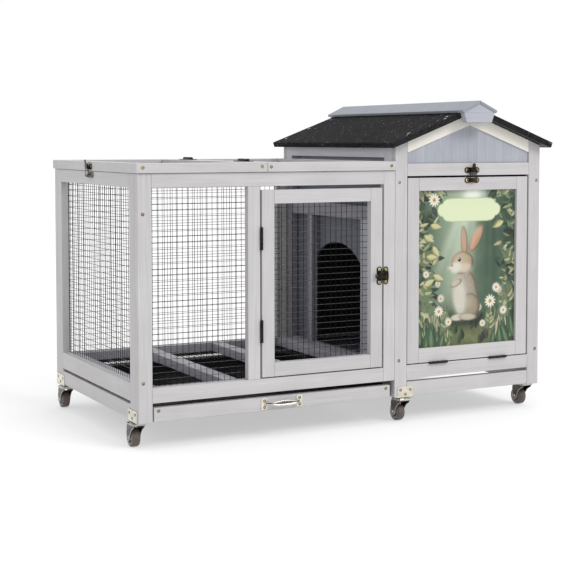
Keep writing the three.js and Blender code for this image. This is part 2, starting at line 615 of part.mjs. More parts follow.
function addCasters() {
  const fork = forkGeometry();
  const wheel = wheelGeometry();
  for (const { name, x, y } of CASTERS) {
    const caster = new THREE.Group();
    caster.position.set(x, y, GROUND_Z);
    caster.rotation.z = THREE.MathUtils.degToRad(SWIVEL_TURN);
    hutch.add(caster);
    addMesh(`caster_fork_${name}`, fork, zinc, caster);
    addMesh(`caster_wheel_${name}`, wheel, rubber, caster).position.set(TRAIL, 0, WHEEL_R);
  }
}

// ---- assembly ----
addRunFront();
addRunLeft();
addRunBack();
addRunDoor();
addTopPanel('run_lid', [LID_LEFT, LID_RIGHT]);
addTopPanel('run_top', [TOP_LEFT, RUN_RIGHT]);
addFloor();
addTray();
addHouseFront();
addFlap();
addHouseLeft();
addHouseRight();
addHouseBack();
addHouseFloor();
addRoofBoard('roof_board_left', -1);
addRoofBoard('roof_board_right', 1);
addRidgeCap();
addHinges();
addLatches();
addCasters();

// The origin is the bottom centre of the whole hutch.
hutch.updateMatrixWorld(true);
const bounds = new THREE.Box3().setFromObject(hutch, true);
const centre = bounds.getCenter(new THREE.Vector3());
hutch.position.set(-centre.x, -centre.y, -bounds.min.z);
hutch.updateMatrixWorld(true);

export default hutch;
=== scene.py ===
"""A painted wooden rabbit hutch on casters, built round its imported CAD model."""

import math
import random

import bmesh
import bpy
import numpy as np
from mathutils import Matrix, Vector


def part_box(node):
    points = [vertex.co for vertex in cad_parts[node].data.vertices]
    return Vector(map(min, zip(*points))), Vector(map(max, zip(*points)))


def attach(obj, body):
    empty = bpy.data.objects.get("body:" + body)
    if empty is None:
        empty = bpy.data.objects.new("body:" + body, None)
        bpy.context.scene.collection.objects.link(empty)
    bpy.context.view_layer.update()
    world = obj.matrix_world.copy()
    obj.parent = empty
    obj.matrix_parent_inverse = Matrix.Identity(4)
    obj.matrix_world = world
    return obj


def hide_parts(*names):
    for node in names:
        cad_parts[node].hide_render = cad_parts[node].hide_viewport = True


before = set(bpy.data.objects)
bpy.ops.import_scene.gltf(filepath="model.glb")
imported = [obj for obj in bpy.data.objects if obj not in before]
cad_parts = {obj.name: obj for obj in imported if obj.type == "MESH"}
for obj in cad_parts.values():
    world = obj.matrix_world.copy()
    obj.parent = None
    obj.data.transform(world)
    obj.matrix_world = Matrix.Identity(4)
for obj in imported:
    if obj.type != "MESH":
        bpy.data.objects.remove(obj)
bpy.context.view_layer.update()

# ---------------------------------------------------------------- frames of reference
# Lengths are in millimetres from the hutch's left face, its front face, and the level that is
# one leg's height below its boards. The ground is a little lower than that level.
MM = 0.001
LEG = 48
GROUND = -5.5
front_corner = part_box("run_front_frame")[0]
ORIGIN = Vector((front_corner.x, front_corner.y, front_corner.z - LEG * MM))
X_AXIS, Y_AXIS, Z_AXIS = Vector((1, 0, 0)), Vector((0, 1, 0)), Vector((0, 0, 1))
TO_FRONT, TO_LEFT, TO_RIGHT, TO_BACK = (0, -1, 0), (-1, 0, 0), (1, 0, 0), (0, 1, 0)
FULL_TURN = 2 * math.pi
RIGHT_ANGLE = math.pi / 2


def place(origin, a, b, c):
    """The matrix that takes local millimetres (a, b, c) to the CAD model's frame in metres."""
    basis = Matrix((a, b, c)).transposed() * MM
    matrix = basis.to_4x4()
    matrix.translation = ORIGIN + Vector(origin) * MM
    return matrix


FRONT = place((0, 0, 0), X_AXIS, Z_AXIS, Y_AXIS)
SIDE = place((0, 0, 0), Y_AXIS, Z_AXIS, X_AXIS)
LEVEL = place((0, 0, 0), X_AXIS, Y_AXIS, Z_AXIS)
# These follow a matrix whose b axis stands off a face. A plate drawn in the face's plane gets
# its thickness along b, and a screw head looks out along b.
LYING = Matrix(((1, 0, 0, 0), (0, 0, 1, 0), (0, 1, 0, 0), (0, 0, 0, 1)))
LOOKING_OUT = Matrix(((0, 1, 0, 0), (0, 0, 1, 0), (1, 0, 0, 0), (0, 0, 0, 1)))


def shifted(matrix, a, b, c):
    return matrix @ Matrix.Translation((a, b, c))


def facing(origin, out):
    """A matrix whose c axis points out of a face at origin."""
    out = Vector(out)
    one = out.orthogonal().normalized()
    return place(origin, one, out.cross(one), out)


def extent(node):
    """A CAD node's box, as three (low, high) pairs in millimetres."""
    low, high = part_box(node)
    low, high = (low - ORIGIN) / MM, (high - ORIGIN) / MM
    return [(low[i], high[i]) for i in range(3)]


# ---------------------------------------------------------------- outlines
def rectangle(a, b):
    return [(a[0], b[0]), (a[1], b[0]), (a[1], b[1]), (a[0], b[1])]


def arc(centre, radius, start, sweep, steps):
    """Points along an arc, by angles in radians."""
    angles = [start + sweep * k / steps for k in range(steps + 1)]
    return [(centre[0] + radius * math.cos(t), centre[1] + radius * math.sin(t)) for t in angles]


def circle(radius, sides):
    return arc((0, 0), radius, 0, FULL_TURN, sides)[:-1]


def rounded_rectangle(a, b, corner, steps=4):
    outline = []
    inner_a, inner_b = (a[0] + corner, a[1] - corner), (b[0] + corner, b[1] - corner)
    for quarter, (i, j) in enumerate(((1, 1), (0, 1), (0, 0), (1, 0))):
        outline += arc((inner_a[i], inner_b[j]), corner, quarter * RIGHT_ANGLE, RIGHT_ANGLE, steps)
    return outline


def strip(points, half):
    """The outline of a sheet strip that follows the points, seen from its edge."""
    upper, lower = [], []
    for i, point in enumerate(points):
        before = Vector(points[max(i - 1, 0)])
        after = Vector(points[min(i + 1, len(points) - 1)])
        run = (after - before).normalized()
        normal = Vector((-run.y, run.x)) * half
        upper.append(tuple(Vector(point) + normal))
        lower.append(tuple(Vector(point) - normal))
    return upper + lower[::-1]


# ---------------------------------------------------------------- mesh building
SHARP = math.radians(50)
chance = random.Random(41)


def ring_faces(one, two):
    """The corners of the faces between two rings of equal length."""
    count = len(one)
    return [(one[k], one[(k + 1) % count], two[(k + 1) % count], two[k]) for k in range(count)]


def skin(part, rings):
    """Covers a row of rings with faces, and caps its two ends."""
    for one, two in zip(rings, rings[1:]):
        for corners in ring_faces(one, two):
            part.faces.new(corners)
    part.faces.new(rings[0])
    part.faces.new(rings[-1])


def settle(name, data, body, nodes):
    """Makes an object of a mesh. It rides on a body and stands for the named CAD nodes."""
    thing = bpy.data.objects.new(name, data)
    bpy.context.scene.collection.objects.link(thing)
    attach(thing, body)
    if nodes:
        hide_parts(*nodes)
    return thing


class Piece:
    """One visible piece: solids are added to it, and then it is made into an object."""

    def __init__(self, name, *materials):
        self.name = name
        self.materials = materials
        self.mesh = bmesh.new()
        self.mesh.loops.layers.uv.new("grain")
        self.mesh.faces.layers.float.new("tone")

    def absorb(self, part, matrix, grain=(1, 0), material=0):
        """Adds a bmesh drawn in local millimetres, with grain coordinates and a tone."""
        uv = part.loops.layers.uv.new("grain")
        tone = part.faces.layers.float.new("tone")
        shade = chance.uniform(-1, 1)
        start = Vector((chance.uniform(0, 9), chance.uniform(0, 9)))
        ga, gb = Vector(grain).normalized()
        for face in part.faces:
            face[tone] = shade
            face.material_index = material
            face.smooth = True
            for loop in face.loops:
                a, b, c = loop.vert.co
                loop[uv].uv = Vector((ga * a + gb * b, ga * b - gb * a + c)) * MM + start
        part.transform(matrix)
        bmesh.ops.recalc_face_normals(part, faces=part.faces)
        holder = bpy.data.meshes.new("holder")
        part.to_mesh(holder)
        part.free()
        self.mesh.from_mesh(holder)
        bpy.data.meshes.remove(holder)

    def prism(self, matrix, outline, depth, grain=(1, 0), bevel=1.0, material=0):
        """A board: the outline in local (a, b), filling depth along c, with rounded edges."""
        part = bmesh.new()
        low, high = [[part.verts.new((a, b, c)) for a, b in outline] for c in depth]
        part.faces.new(low)
        part.faces.new(high)
        for corners in ring_faces(low, high):
            part.faces.new(corners)
        bmesh.ops.recalc_face_normals(part, faces=part.faces)
        bmesh.ops.bevel(part, geom=part.edges[:], offset=bevel, segments=2,
                        profile=0.5, affect="EDGES", clamp_overlap=True)
        self.absorb(part, matrix, grain, material)

    def board(self, matrix, a, b, depth, upright=False, bevel=1.0, material=0):
        """A rectangular board, with its grain along a, or along b when it stands upright."""
        grain = (0, 1) if upright else (1, 0)
        self.prism(matrix, rectangle(a, b), depth, grain, bevel, material)

    def boards(self, matrix, depth, upright=(), level=(), material=0):
        """Boards of one depth, each given by its (a, b) ranges."""
        for a, b in upright:
            self.board(matrix, a, b, depth, True, material=material)
        for a, b in level:
            self.board(matrix, a, b, depth, material=material)

    def stack(self, matrix, a, b, depth, count, material=0):
        """Boards laid edge to edge along a, stacked over b."""
        high = (b[1] - b[0]) / count
        for i in range(count):
            self.board(matrix, a, (b[0] + i * high, b[0] + (i + 1) * high), depth,
                       bevel=0.7, material=material)

    def lathe(self, matrix, profile, sides=24, material=0, ring=False):
        """A turned solid about local c. The profile of (radius, c) starts and ends on the
        axis, or closes on itself when it is a ring."""
        part = bmesh.new()
        rows = []
        for radius, height in profile:
            if radius < 1e-6:
                rows.append([part.verts.new((0, 0, height))] * sides)
            else:
                rows.append([part.verts.new((a, b, height)) for a, b in circle(radius, sides)])
        for one, two in zip(rows, rows[1:] + (rows[:1] if ring else [])):
            for corners in ring_faces(one, two):
                unique = list(dict.fromkeys(corners))
                if len(unique) > 2:
                    part.faces.new(unique)
        self.absorb(part, matrix, material=material)

    def tube(self, matrix, path, radius, sides, material, flat):
        """A flattened bar that follows local points."""
        part = bmesh.new()
        rings = []
        across = None
        for before, point, after in zip(path[:1] + path, path, path[1:] + path[-1:]):
            along = (after - before).normalized()
            if across is None:
                across = along.orthogonal() if abs(along.z) > 0.9 else along.cross(Z_AXIS)
            across = (across - along * across.dot(along)).normalized()
            other = along.cross(across)
            rings.append([part.verts.new(point + across * a + other * b * flat)
                          for a, b in circle(radius, sides)])
        skin(part, rings)
        self.absorb(part, matrix, material=material)

    def finish(self, body, slot, *nodes):
        """Makes the object, which rides on a body and stands for the named CAD nodes."""
        data = bpy.data.meshes.new(self.name)
        self.mesh.to_mesh(data)
        self.mesh.free()
        for material in self.materials:
            data.materials.append(material)
        data.set_sharp_from_angle(angle=SHARP)
        thing = settle(self.name, data, body, nodes)
        weighted = thing.modifiers.new("weighted_normals", "WEIGHTED_NORMAL")
        weighted.keep_sharp = True


# ---------------------------------------------------------------- materials
def linear(value):
    """An sRGB level from 0 to 255 as linear light."""
    value /= 255
    return value / 12.92 if value <= 0.04045 else ((value + 0.055) / 1.055) ** 2.4


def rgba(*levels):
    return tuple(linear(v) for v in levels) + (1.0,)


class Shader:
    """A node material with one Principled shader, and short calls for the nodes it needs."""

    def __init__(self, name, roughness, metallic=0.0, specular=0.5):
        self.material = bpy.data.materials.new(name)
        self.material.use_nodes = True
        self.nodes = self.material.node_tree.nodes
        self.links = self.material.node_tree.links
        self.bsdf = self.nodes["Principled BSDF"]
        self.bsdf.inputs["Roughness"].default_value = roughness
        self.bsdf.inputs["Metallic"].default_value = metallic
        self.bsdf.inputs["Specular IOR Level"].default_value = specular

    def put(self, socket, value):
        if isinstance(value, bpy.types.NodeSocket):
            self.links.new(value, socket)
        else:
            socket.default_value = value

    def node(self, kind, inputs):
        """A node with its inputs, by name or number, linked or set."""
        node = self.nodes.new("ShaderNode" + kind)
        for key, value in inputs.items():
            self.put(node.inputs[key], value)
        return node

    def grain(self, scale):
        """Coordinates along and across each board, stretched by scale."""
        uv = self.nodes.new("ShaderNodeUVMap")
        uv.uv_map = "grain"
        return self.node("Mapping", {"Vector": uv.outputs["UV"], "Scale": scale}).outputs["Vector"]

    def position(self):
        return self.nodes.new("ShaderNodeTexCoord").outputs["Object"]

    def noise(self, vector, scale, detail=3.0, roughness=0.55, distortion=0.0):
        node = self.node("TexNoise", {"Vector": vector, "Scale": scale, "Detail": detail,
                                      "Roughness": roughness, "Distortion": distortion})
        return node.outputs["Fac"]

    def cells(self, vector, scale):
        node = self.node("TexVoronoi", {"Vector": vector, "Scale": scale})
        return node.outputs["Color"], node.outputs["Distance"]

    def attribute(self, name):
        node = self.nodes.new("ShaderNodeAttribute")
        node.attribute_name = name
        return node

    def range(self, value, low, high, out_low=0.0, out_high=1.0):
        node = self.node("MapRange", {"Value": value, "From Min": low, "From Max": high,
                                      "To Min": out_low, "To Max": out_high})
        return node.outputs["Result"]

    def math(self, kind, one, two):
        node = self.node("Math", {0: one, 1: two})
        node.operation = kind
        return node.outputs["Value"]

    def mix(self, share, one, two):
        node = self.nodes.new("ShaderNodeMix")
        node.data_type = "RGBA"
        for key, value in (("Factor", share), ("A", one), ("B", two)):
            self.put(node.inputs[key], value)
        return node.outputs["Result"]

    def bump(self, height, strength, distance):
        node = self.node("Bump", {"Strength": strength, "Distance": distance, "Height": height})
        self.links.new(node.outputs["Normal"], self.bsdf.inputs["Normal"])

    def colour(self, value):
        self.put(self.bsdf.inputs["Base Color"], value)

    def roughness(self, value):
        self.put(self.bsdf.inputs["Roughness"], value)


def painted_wood(name, light, dark, streak=0.5, sheen_rough=0.52):
    """Thin paint over softwood: brushed streaks and grain along each board."""
    shader = Shader(name, sheen_rough, specular=0.35)
    fibre = shader.noise(shader.grain((9, 420, 1)), 1.0, 4, 0.6, 0.3)
    figure = shader.noise(shader.grain((2.2, 60, 1)), 1.0, 3, 0.5, 1.2)
    mottle = shader.noise(shader.position(), 14, 2)
    share = shader.math("MULTIPLY", shader.range(fibre, 0.3, 0.7), streak)
    share = shader.math("ADD", share, shader.range(figure, 0.35, 0.65, 0, 0.5 - streak / 2))
    share = shader.math("ADD", share, shader.range(mottle, 0.3, 0.7, -0.12, 0.12))
    tone = shader.math("MULTIPLY", shader.attribute("tone").outputs["Fac"], 0.16)
    shader.colour(shader.mix(shader.math("ADD", share, tone), rgba(*dark), rgba(*light)))
    shader.roughness(shader.range(fibre, 0.3, 0.7, sheen_rough - 0.07, sheen_rough + 0.08))
    shader.bump(shader.math("ADD", fibre, figure), 0.3, 0.0004)
    return shader.material


def roof_felt():
    """Bitumen felt with mineral chips of several greys."""
    shader = Shader("roof_felt", 0.95, specular=0.08)
    spot = shader.position()
    chips, distance = shader.cells(spot, 520)
    fine, _ = shader.cells(spot, 420)
    patch = shader.noise(spot, 9, 4)
    grey = shader.mix(shader.range(chips, 0.1, 0.95), rgba(13, 13, 14), rgba(56, 54, 56))
    grey = shader.mix(shader.range(fine, 0.9, 0.97, 0, 0.75), grey, rgba(190, 188, 190))
    shader.colour(shader.mix(shader.range(patch, 0.35, 0.7, 0, 0.35), grey, rgba(22, 21, 23)))
    shader.bump(distance, 0.8, 0.0012)
    return shader.material


def metal(name, light, dark, roughness, metallic=1.0, scale=60, wear=0.5):
    """Metal with faint uneven plating."""
    shader = Shader(name, roughness, metallic)
    cloud = shader.noise(shader.position(), scale, 5, 0.6)
    fine = shader.noise(shader.position(), scale * 14, 2)
    shader.colour(shader.mix(shader.range(cloud, 0.5 - wear / 4, 0.5 + wear / 4),
                             rgba(*dark), rgba(*light)))
    shader.roughness(shader.range(cloud, 0.3, 0.7, roughness - 0.08, roughness + 0.12))
    shader.bump(fine, 0.12, 0.0002)
    return shader.material


def coated(name, light, dark, roughness, scale=300, specular=0.4):
    """Plastic, powder coat or rubber with a fine mottle."""
    shader = Shader(name, roughness, specular=specular)
    cloud = shader.noise(shader.position(), scale, 4, 0.6)
    broad = shader.noise(shader.position(), scale / 12, 2)
    share = shader.math("MULTIPLY", shader.math("ADD", cloud, broad), 0.5)
    shader.colour(shader.mix(shader.range(share, 0.35, 0.65), rgba(*dark), rgba(*light)))
    shader.roughness(shader.range(cloud, 0.3, 0.7, roughness - 0.06, roughness + 0.08))
    shader.bump(cloud, 0.25, 0.0002)
    return shader.material


def print_finish():
    """Ink printed on board, under a thin satin varnish."""
    shader = Shader("picture_print", 0.42, specular=0.15)
    ink = shader.attribute("ink").outputs["Color"]
    tooth = shader.noise(shader.position(), 700, 2)
    shader.colour(shader.mix(shader.range(tooth, 0.3, 0.7, 0, 0.02), ink, rgba(235, 240, 225)))
    shader.roughness(shader.range(tooth, 0.3, 0.7, 0.36, 0.48))
    shader.bump(tooth, 0.1, 0.0002)
    return shader.material


PAINT = painted_wood("grey_paint", (191, 189, 190), (170, 168, 169))
# A paler, creamier paint for the gable boards: partly their cream colour, partly painted light that
# offsets the overhang's shade.
PALE_CREAM_PAINTED_LIGHT = painted_wood("cream_paint_with_painted_light", (226, 223, 215), (210, 207, 199))
# A darker copy of the grey paint for the partition's lower boards: painted shade inside the run.
INNER_GREY_PAINTED_SHADE = painted_wood("grey_paint_painted_shade_inside", (142, 140, 146), (120, 118, 125))
BLUE = painted_wood("blue_grey_paint", (168, 171, 179), (148, 151, 160), streak=0.7)
# A darker copy of the blue-grey paint for the partition's lower panel and the house floor: painted
# shade.
INNER_BLUE_PAINTED_SHADE = painted_wood("blue_grey_paint_painted_shade_inside", (98, 101, 112), (74, 77, 88), streak=0.7)
# A near-black copy of the paint for the inner faces of the house's panels: painted shade inside the
# house.
HOUSE_INSIDE_PAINTED_SHADE = painted_wood("house_inside_painted_shade", (52, 54, 60), (34, 35, 40))
NEAR_BLACK_WOOD = painted_wood("near_black_wood", (24, 24, 24), (14, 14, 14))
CAP_BLUE = painted_wood("cap_paint", (142, 147, 153), (126, 132, 139))
# A lighter copy of the grey paint for the partition's boards under the eaves: painted light that
# offsets their shade.
EAVES_PAINTED_LIGHT = painted_wood("grey_paint_painted_light_under_eaves", (212, 211, 218), (192, 191, 198))
# A darker copy of the grey paint for the run's floor beams and a doorway stile: painted shade
# inside the run.
RUN_PAINTED_SHADE = painted_wood("grey_paint_painted_shade_in_run", (172, 171, 178), (150, 149, 157))
FELT = roof_felt()
WIRE = coated("wire_coat", (15, 15, 16), (6, 6, 7), 0.6, specular=0.08)
# A glossier wire coat for the bars along a sheet: the gloss is real, its lighter colour is a
# painted sheen.
WIRE_PAINTED_SHEEN = coated("glossy_wire_coat_painted_sheen", (32, 32, 34), (14, 14, 16), 0.3, specular=0.8)
TRAY = coated("tray_coat", (16, 16, 18), (7, 7, 9), 0.5, 120, specular=0.1)
ZINC = metal("zinc", (206, 204, 200), (168, 166, 162), 0.2, scale=24, wear=0.9)
# A dark zinc. On the tray's pull and the caster forks' cheeks its darkness is a painted dark
# reflection.
SMOKED_ZINC_PAINTED_REFLECTION = metal("smoked_zinc_and_painted_reflection", (104, 103, 100), (48, 47, 45), 0.28, scale=40)
CHROME = metal("chrome", (212, 206, 202), (184, 178, 174), 0.3, scale=60)
YELLOW_ZINC = metal("yellow_zinc", (232, 229, 219), (204, 200, 188), 0.36, scale=40)
HINGE = metal("black_hinge", (40, 39, 39), (16, 16, 16), 0.42, 0.7)
BRONZE = metal("antique_bronze", (92, 80, 58), (24, 21, 17), 0.34, 1.0, 130, 0.7)
DARK_BRONZE = metal("dark_bronze", (58, 56, 50), (16, 15, 13), 0.3, 1.0, 130, 0.7)
BRASS = metal("brass_screw", (176, 156, 112), (96, 84, 60), 0.36, 1.0, 200)
BRIGHT_BRASS = metal("bright_screw", (222, 212, 178), (150, 138, 104), 0.3, 1.0, 200)
TYRE = coated("tyre", (104, 92, 86), (66, 57, 54), 0.5, 200)
TYRE_FACE = coated("tyre_face", (96, 82, 78), (62, 52, 50), 0.55, 200)
HUB = coated("wheel_hub", (184, 176, 170), (136, 128, 124), 0.4, 150)
INK = print_finish()
BACKING = coated("picture_backing", (158, 155, 148), (134, 131, 124), 0.7, 90)

# ---------------------------------------------------------------- boards and walls
# Ranges along the hutch (x), up it, and through its walls.
BOARD = (0, 16)
DEPTH = 522
BACK = (DEPTH - 16, DEPTH)
INNER = (16.3, 505.7)
STILE = 30
HOUSE_LEFT = 577.7
WIDTH = 956
HOUSE_INNER = (607.7, 926)
LOW_RAIL = (86, 115)
SIDE_LOW_RAIL = (86, 122)
TOP_RAIL = (504, 532)
CROSS_RAIL = (520, 547)
POST_RIGHT = 29
MID_STILE = (234, 261)
RIGHT_STILE = (550, 577.4)
SKIRT_TOP = 80


def ends(span, wide):
    """The first and last stretch of a range, each wide long, and what is left between them."""
    return (span[0], span[0] + wide), (span[1] - wide, span[1]), (span[0] + wide, span[1] - wide)


def make_run_frames():
    full = (LEG, TOP_RAIL[1])
    between = (POST_RIGHT, RIGHT_STILE[0])
    rails = ((between, TOP_RAIL), (between, LOW_RAIL))
    front = Piece("run_front_boards", PAINT)
    front.boards(FRONT, BOARD, (((0, POST_RIGHT), full), (RIGHT_STILE, (LOW_RAIL[0], full[1]))),
                 rails)
    front.board(FRONT, MID_STILE, (LOW_RAIL[1], TOP_RAIL[0]), BOARD, upright=True)
    front.finish("root", "paint", "run_front_frame")

    left = Piece("run_left_boards", PAINT)
    near, far, middle = ends(INNER, STILE)
    left.boards(SIDE, BOARD, ((near, full), (far, full)),
                ((middle, TOP_RAIL), (middle, SIDE_LOW_RAIL)))
    left.finish("root", "paint", "run_left_frame")

    back = Piece("run_back_boards", PAINT)
    back.boards(FRONT, BACK, (((0, POST_RIGHT), full), (RIGHT_STILE, full)), rails)
    back.finish("root", "paint", "run_back_frame")


def single_board(node, body="root"):
    """One board that fills a CAD node, with its grain along the longer way."""
    x, y, z = extent(node)
    piece = Piece(node + "_board", PAINT)
    if x[1] - x[0] > y[1] - y[0]:
        piece.board(FRONT, x, z, y)
    else:
        piece.board(SIDE, y, z, x)
    piece.finish(body, "paint", node)


def make_skirts():
    for node in ("run_left_skirt", "run_back_skirt", "house_front_skirt", "tray_runner_left",
                 "tray_runner_right"):
        single_board(node)


LID_BOARD = 28


def make_leaves():
    for node, name, body, side, foot, head in (
            ("run_door_frame", "run_door_boards", "run_door", 28, 28, 28),
            ("flap_frame", "flap_boards", "house_flap", 29, 31, 28)):
        x, y, z = extent(node)
        left, right, middle = ends(x, side)
        leaf = Piece(name, PAINT)
        leaf.boards(FRONT, y, ((left, z), (right, z)),
                    ((middle, (z[0], z[0] + foot)), (middle, (z[1] - head, z[1]))))
        leaf.finish(body, "paint", node)
    for node, body in (("run_lid_frame", "run_lid"), ("run_top_frame", "root")):
        x, y, z = extent(node)
        left, right, _ = ends(x, LID_BOARD)
        near, far, middle = ends(y, LID_BOARD)
        lid = Piece(node + "_boards", PAINT)
        lid.boards(LEVEL, z, level=((x, near), (x, far)))
        lid.boards(LEVEL, z, upright=((left, middle), (right, middle)))
        lid.finish(body, "paint", node)


def make_floor():
    x, y, z = extent("run_floor_frame")
    beam, rail, bays = 30, 14, 3
    step = (x[1] - x[0] - beam) / bays
    # The beams take a darker copy of the grey paint: painted shade inside the run.
    floor = Piece("run_floor_beams", RUN_PAINTED_SHADE)
    for i in range(bays + 1):
        left = x[0] + i * step
        floor.board(SIDE, y, z, (left, left + beam))
        if i < bays:
            for depth in ends(y, rail)[:2]:
                floor.board(FRONT, (left + beam, left + step), z, depth)
    floor.finish("root", "paint", "run_floor_frame")


# ---------------------------------------------------------------- welded wire
PITCH = 12.7
WIRE_RADIUS = 0.55
WIRE_SIDES = 6
WIRE_SHARP = math.radians(70)


def wire_stations(span):
    """Where the bars cross a range: one pitch apart and centred on it."""
    count = int((span[1] - span[0] - 2) // PITCH)
    first = (span[0] + span[1] - count * PITCH) / 2
    return [first + i * PITCH for i in range(count + 1)]


def wire_sheet(node, body, matrix, a, b, depths, shiny=True):
    """Half-inch welded wire: bars along b at the first depth, bars along a at the second."""
    corners, faces, kinds = [], [], []
    bars = [((s, b[0], depths[0]), (s, b[1], depths[0]), 0) for s in wire_stations(a)]
    # With shiny, the bars along a take the glossier coat, whose lighter colour is a painted sheen.
    bars += [((a[0], s, depths[1]), (a[1], s, depths[1]), int(shiny)) for s in wire_stations(b)]
    for start, end, kind in bars:
        along = (Vector(end) - Vector(start)).normalized()
        one = along.orthogonal().normalized()
        two = along.cross(one)
        base = len(corners)
        for point in (start, end):
            for p, q in circle(WIRE_RADIUS, WIRE_SIDES):
                corners.append(matrix @ (Vector(point) + one * p + two * q))
        near = list(range(base, base + WIRE_SIDES))
        far = [k + WIRE_SIDES for k in near]
        faces += [near[::-1], far] + ring_faces(near, far)
        kinds += [kind] * (WIRE_SIDES + 2)
    data = bpy.data.meshes.new(node + "_wires")
    data.from_pydata(corners, [], faces)
    data.materials.append(WIRE)
    data.materials.append(WIRE_PAINTED_SHEEN)
    data.polygons.foreach_set("material_index", kinds)
    data.shade_smooth()
    data.set_sharp_from_angle(angle=WIRE_SHARP)
    settle(node + "_wires", data, body, [node])


def make_wire():
    for node, body in (("run_front_mesh", "root"), ("run_back_mesh", "root"),
                       ("run_door_mesh", "run_door")):
        x, y, z = extent(node)
        depths = (y[0] + WIRE_RADIUS, y[1] - WIRE_RADIUS)
        wire_sheet(node, body, FRONT, x, z, depths[::-1] if node == "run_back_mesh" else depths)
    x, y, z = extent("run_left_mesh")
    wire_sheet("run_left_mesh", "root", SIDE, y, z, (x[0] + WIRE_RADIUS, x[1] - WIRE_RADIUS))
    for node, body in (("run_lid_mesh", "run_lid"), ("run_top_mesh", "root"),
                       ("run_floor_wire", "root")):
        x, y, z = extent(node)
        wire_sheet(node, body, LEVEL, x, y, (z[1] - WIRE_RADIUS, z[0] + WIRE_RADIUS), shiny=False)


# ---------------------------------------------------------------- house walls
RIDGE_X = (HOUSE_LEFT + WIDTH) / 2
ROOF_SLOPE = 0.376
RIDGE_UNDER = 656.6
GABLE_SLOPE = 0.374
GABLE_APEX = 628.8
POST_HEAD = 0.4
# Half the gap between the left and right boards that meet at the ridge.
RIDGE_GAP = 0.15


def roof_under(x):
    return RIDGE_UNDER - ROOF_SLOPE * abs(x - RIDGE_X)


def gable_under(x):
    return GABLE_APEX - GABLE_SLOPE * abs(x - RIDGE_X)


def sloped_head(x, foot, under):
    """The outline of an upright board cut to a slope at its head."""
    outline = [(x[0], foot), (x[1], foot), (x[1], under(x[1]))]
    if x[0] < RIDGE_X < x[1]:
        outline.append((RIDGE_X, under(RIDGE_X)))
    return outline + [(x[0], under(x[0]))]


def post_head(x):
    return roof_under(x) - POST_HEAD


def gable_board(piece, foot, head, depth):
    outline = [(foot, gable_under(foot)), (head, gable_under(head)),
               (head, post_head(head)), (foot, post_head(foot))]
    piece.prism(FRONT, outline, depth, grain=(1, GABLE_SLOPE * (1 if foot < head else -1)))


def house_posts(piece, depth):
    for x in ((HOUSE_LEFT, HOUSE_INNER[0]), (HOUSE_INNER[1], WIDTH)):
        piece.prism(FRONT, sloped_head(x, LEG, post_head), depth, grain=(0, 1))


def panel_boards(piece, x, foot, under, count, depths, bevel):
    """Upright boards under a slope, in one layer of material for each depth."""
    width = (x[1] - x[0]) / count
    for i in range(count):
        outline = sloped_head((x[0] + i * width, x[0] + (i + 1) * width), foot, under)
        for material, depth in enumerate(depths):
            piece.prism(FRONT, outline, depth, grain=(0, 1), bevel=bevel, material=material)


def make_house_front():
    posts = Piece("house_front_boards", PAINT)
    inner, outer = HOUSE_INNER
    house_posts(posts, BOARD)
    low_rail = (LOW_RAIL[0] + 1, LOW_RAIL[1] + 1)
    posts.boards(FRONT, BOARD, level=((HOUSE_INNER, CROSS_RAIL), (HOUSE_INNER, low_rail)))
    posts.finish("root", "paint", "house_front_frame")
    for name, foot, head in (("gable_board_left", inner + 0.3, RIDGE_X - RIDGE_GAP),
                             ("gable_board_right", outer - 0.3, RIDGE_X + RIDGE_GAP)):
        # The gable boards take a paler, creamier paint: partly their colour, partly painted light
        # against the overhang's shade.
        piece = Piece(name + "_wood", PALE_CREAM_PAINTED_LIGHT)
        gable_board(piece, foot, head, BOARD)
        piece.finish("root", "paint", name)
    x, y, z = extent("gable_panel_front")
    panel = Piece("gable_panel_boards", BLUE)
    panel_boards(panel, x, z[0], lambda u: gable_under(u) - 0.3, count=14, depths=(y,), bevel=0.35)
    panel.finish("root", "blue_paint", "gable_panel_front")


DOORWAY = {"y": (172, 391), "sill": 120, "spring": 318, "rise": 44}
DOOR_MIDDLE = sum(DOORWAY["y"]) / 2
DOOR_HALF = (DOORWAY["y"][1] - DOORWAY["y"][0]) / 2
DOOR_STILES = ((117, 147), (376, 396))
DOOR_RAIL = (421, 452)
UPPER_FOOT = 534
UPPER_RAIL_FOOT = 559


def arch_reach(z):
    """Half the doorway's width at height z, or None above the arch."""
    radius = (DOOR_HALF * DOOR_HALF + DOORWAY["rise"] ** 2) / (2 * DOORWAY["rise"])
    centre = DOORWAY["spring"] + DOORWAY["rise"] - radius
    if z <= DOORWAY["spring"]:
        return DOOR_HALF
    if z >= centre + radius:
        return None
    return math.sqrt(radius * radius - (z - centre) ** 2)


def partition_board(piece, y, z, x, material):
    """A level board of the partition, cut away where the doorway passes through it."""
    if z[1] <= DOORWAY["sill"] or arch_reach(z[0]) is None:
        piece.board(SIDE, y, z, x, bevel=0.7, material=material)
        return
    crossed = arch_reach(z[1]) is not None
    steps = 14
    high = z[1] if crossed else DOORWAY["spring"] + DOORWAY["rise"]
    curve = [z[0] + (high - z[0]) * i / steps for i in range(steps + 1)]
    if crossed:
        for side, far in ((-1, y[0]), (1, y[1])):
            edge = [(DOOR_MIDDLE + side * arch_reach(h), h) for h in curve]
            piece.prism(SIDE, edge + [(far, z[1]), (far, z[0])], x, bevel=0.3)
        return
    curve.pop()
    edge = [(DOOR_MIDDLE - (arch_reach(h) or 0), h) for h in curve] + [(DOOR_MIDDLE, high)]
    edge += [(DOOR_MIDDLE + (arch_reach(h) or 0), h) for h in reversed(curve)]
    outline = [(y[0], z[0])] + edge + [(y[1], z[0]), (y[1], z[1]), (y[0], z[1])]
    piece.prism(SIDE, outline, x, bevel=0.3)


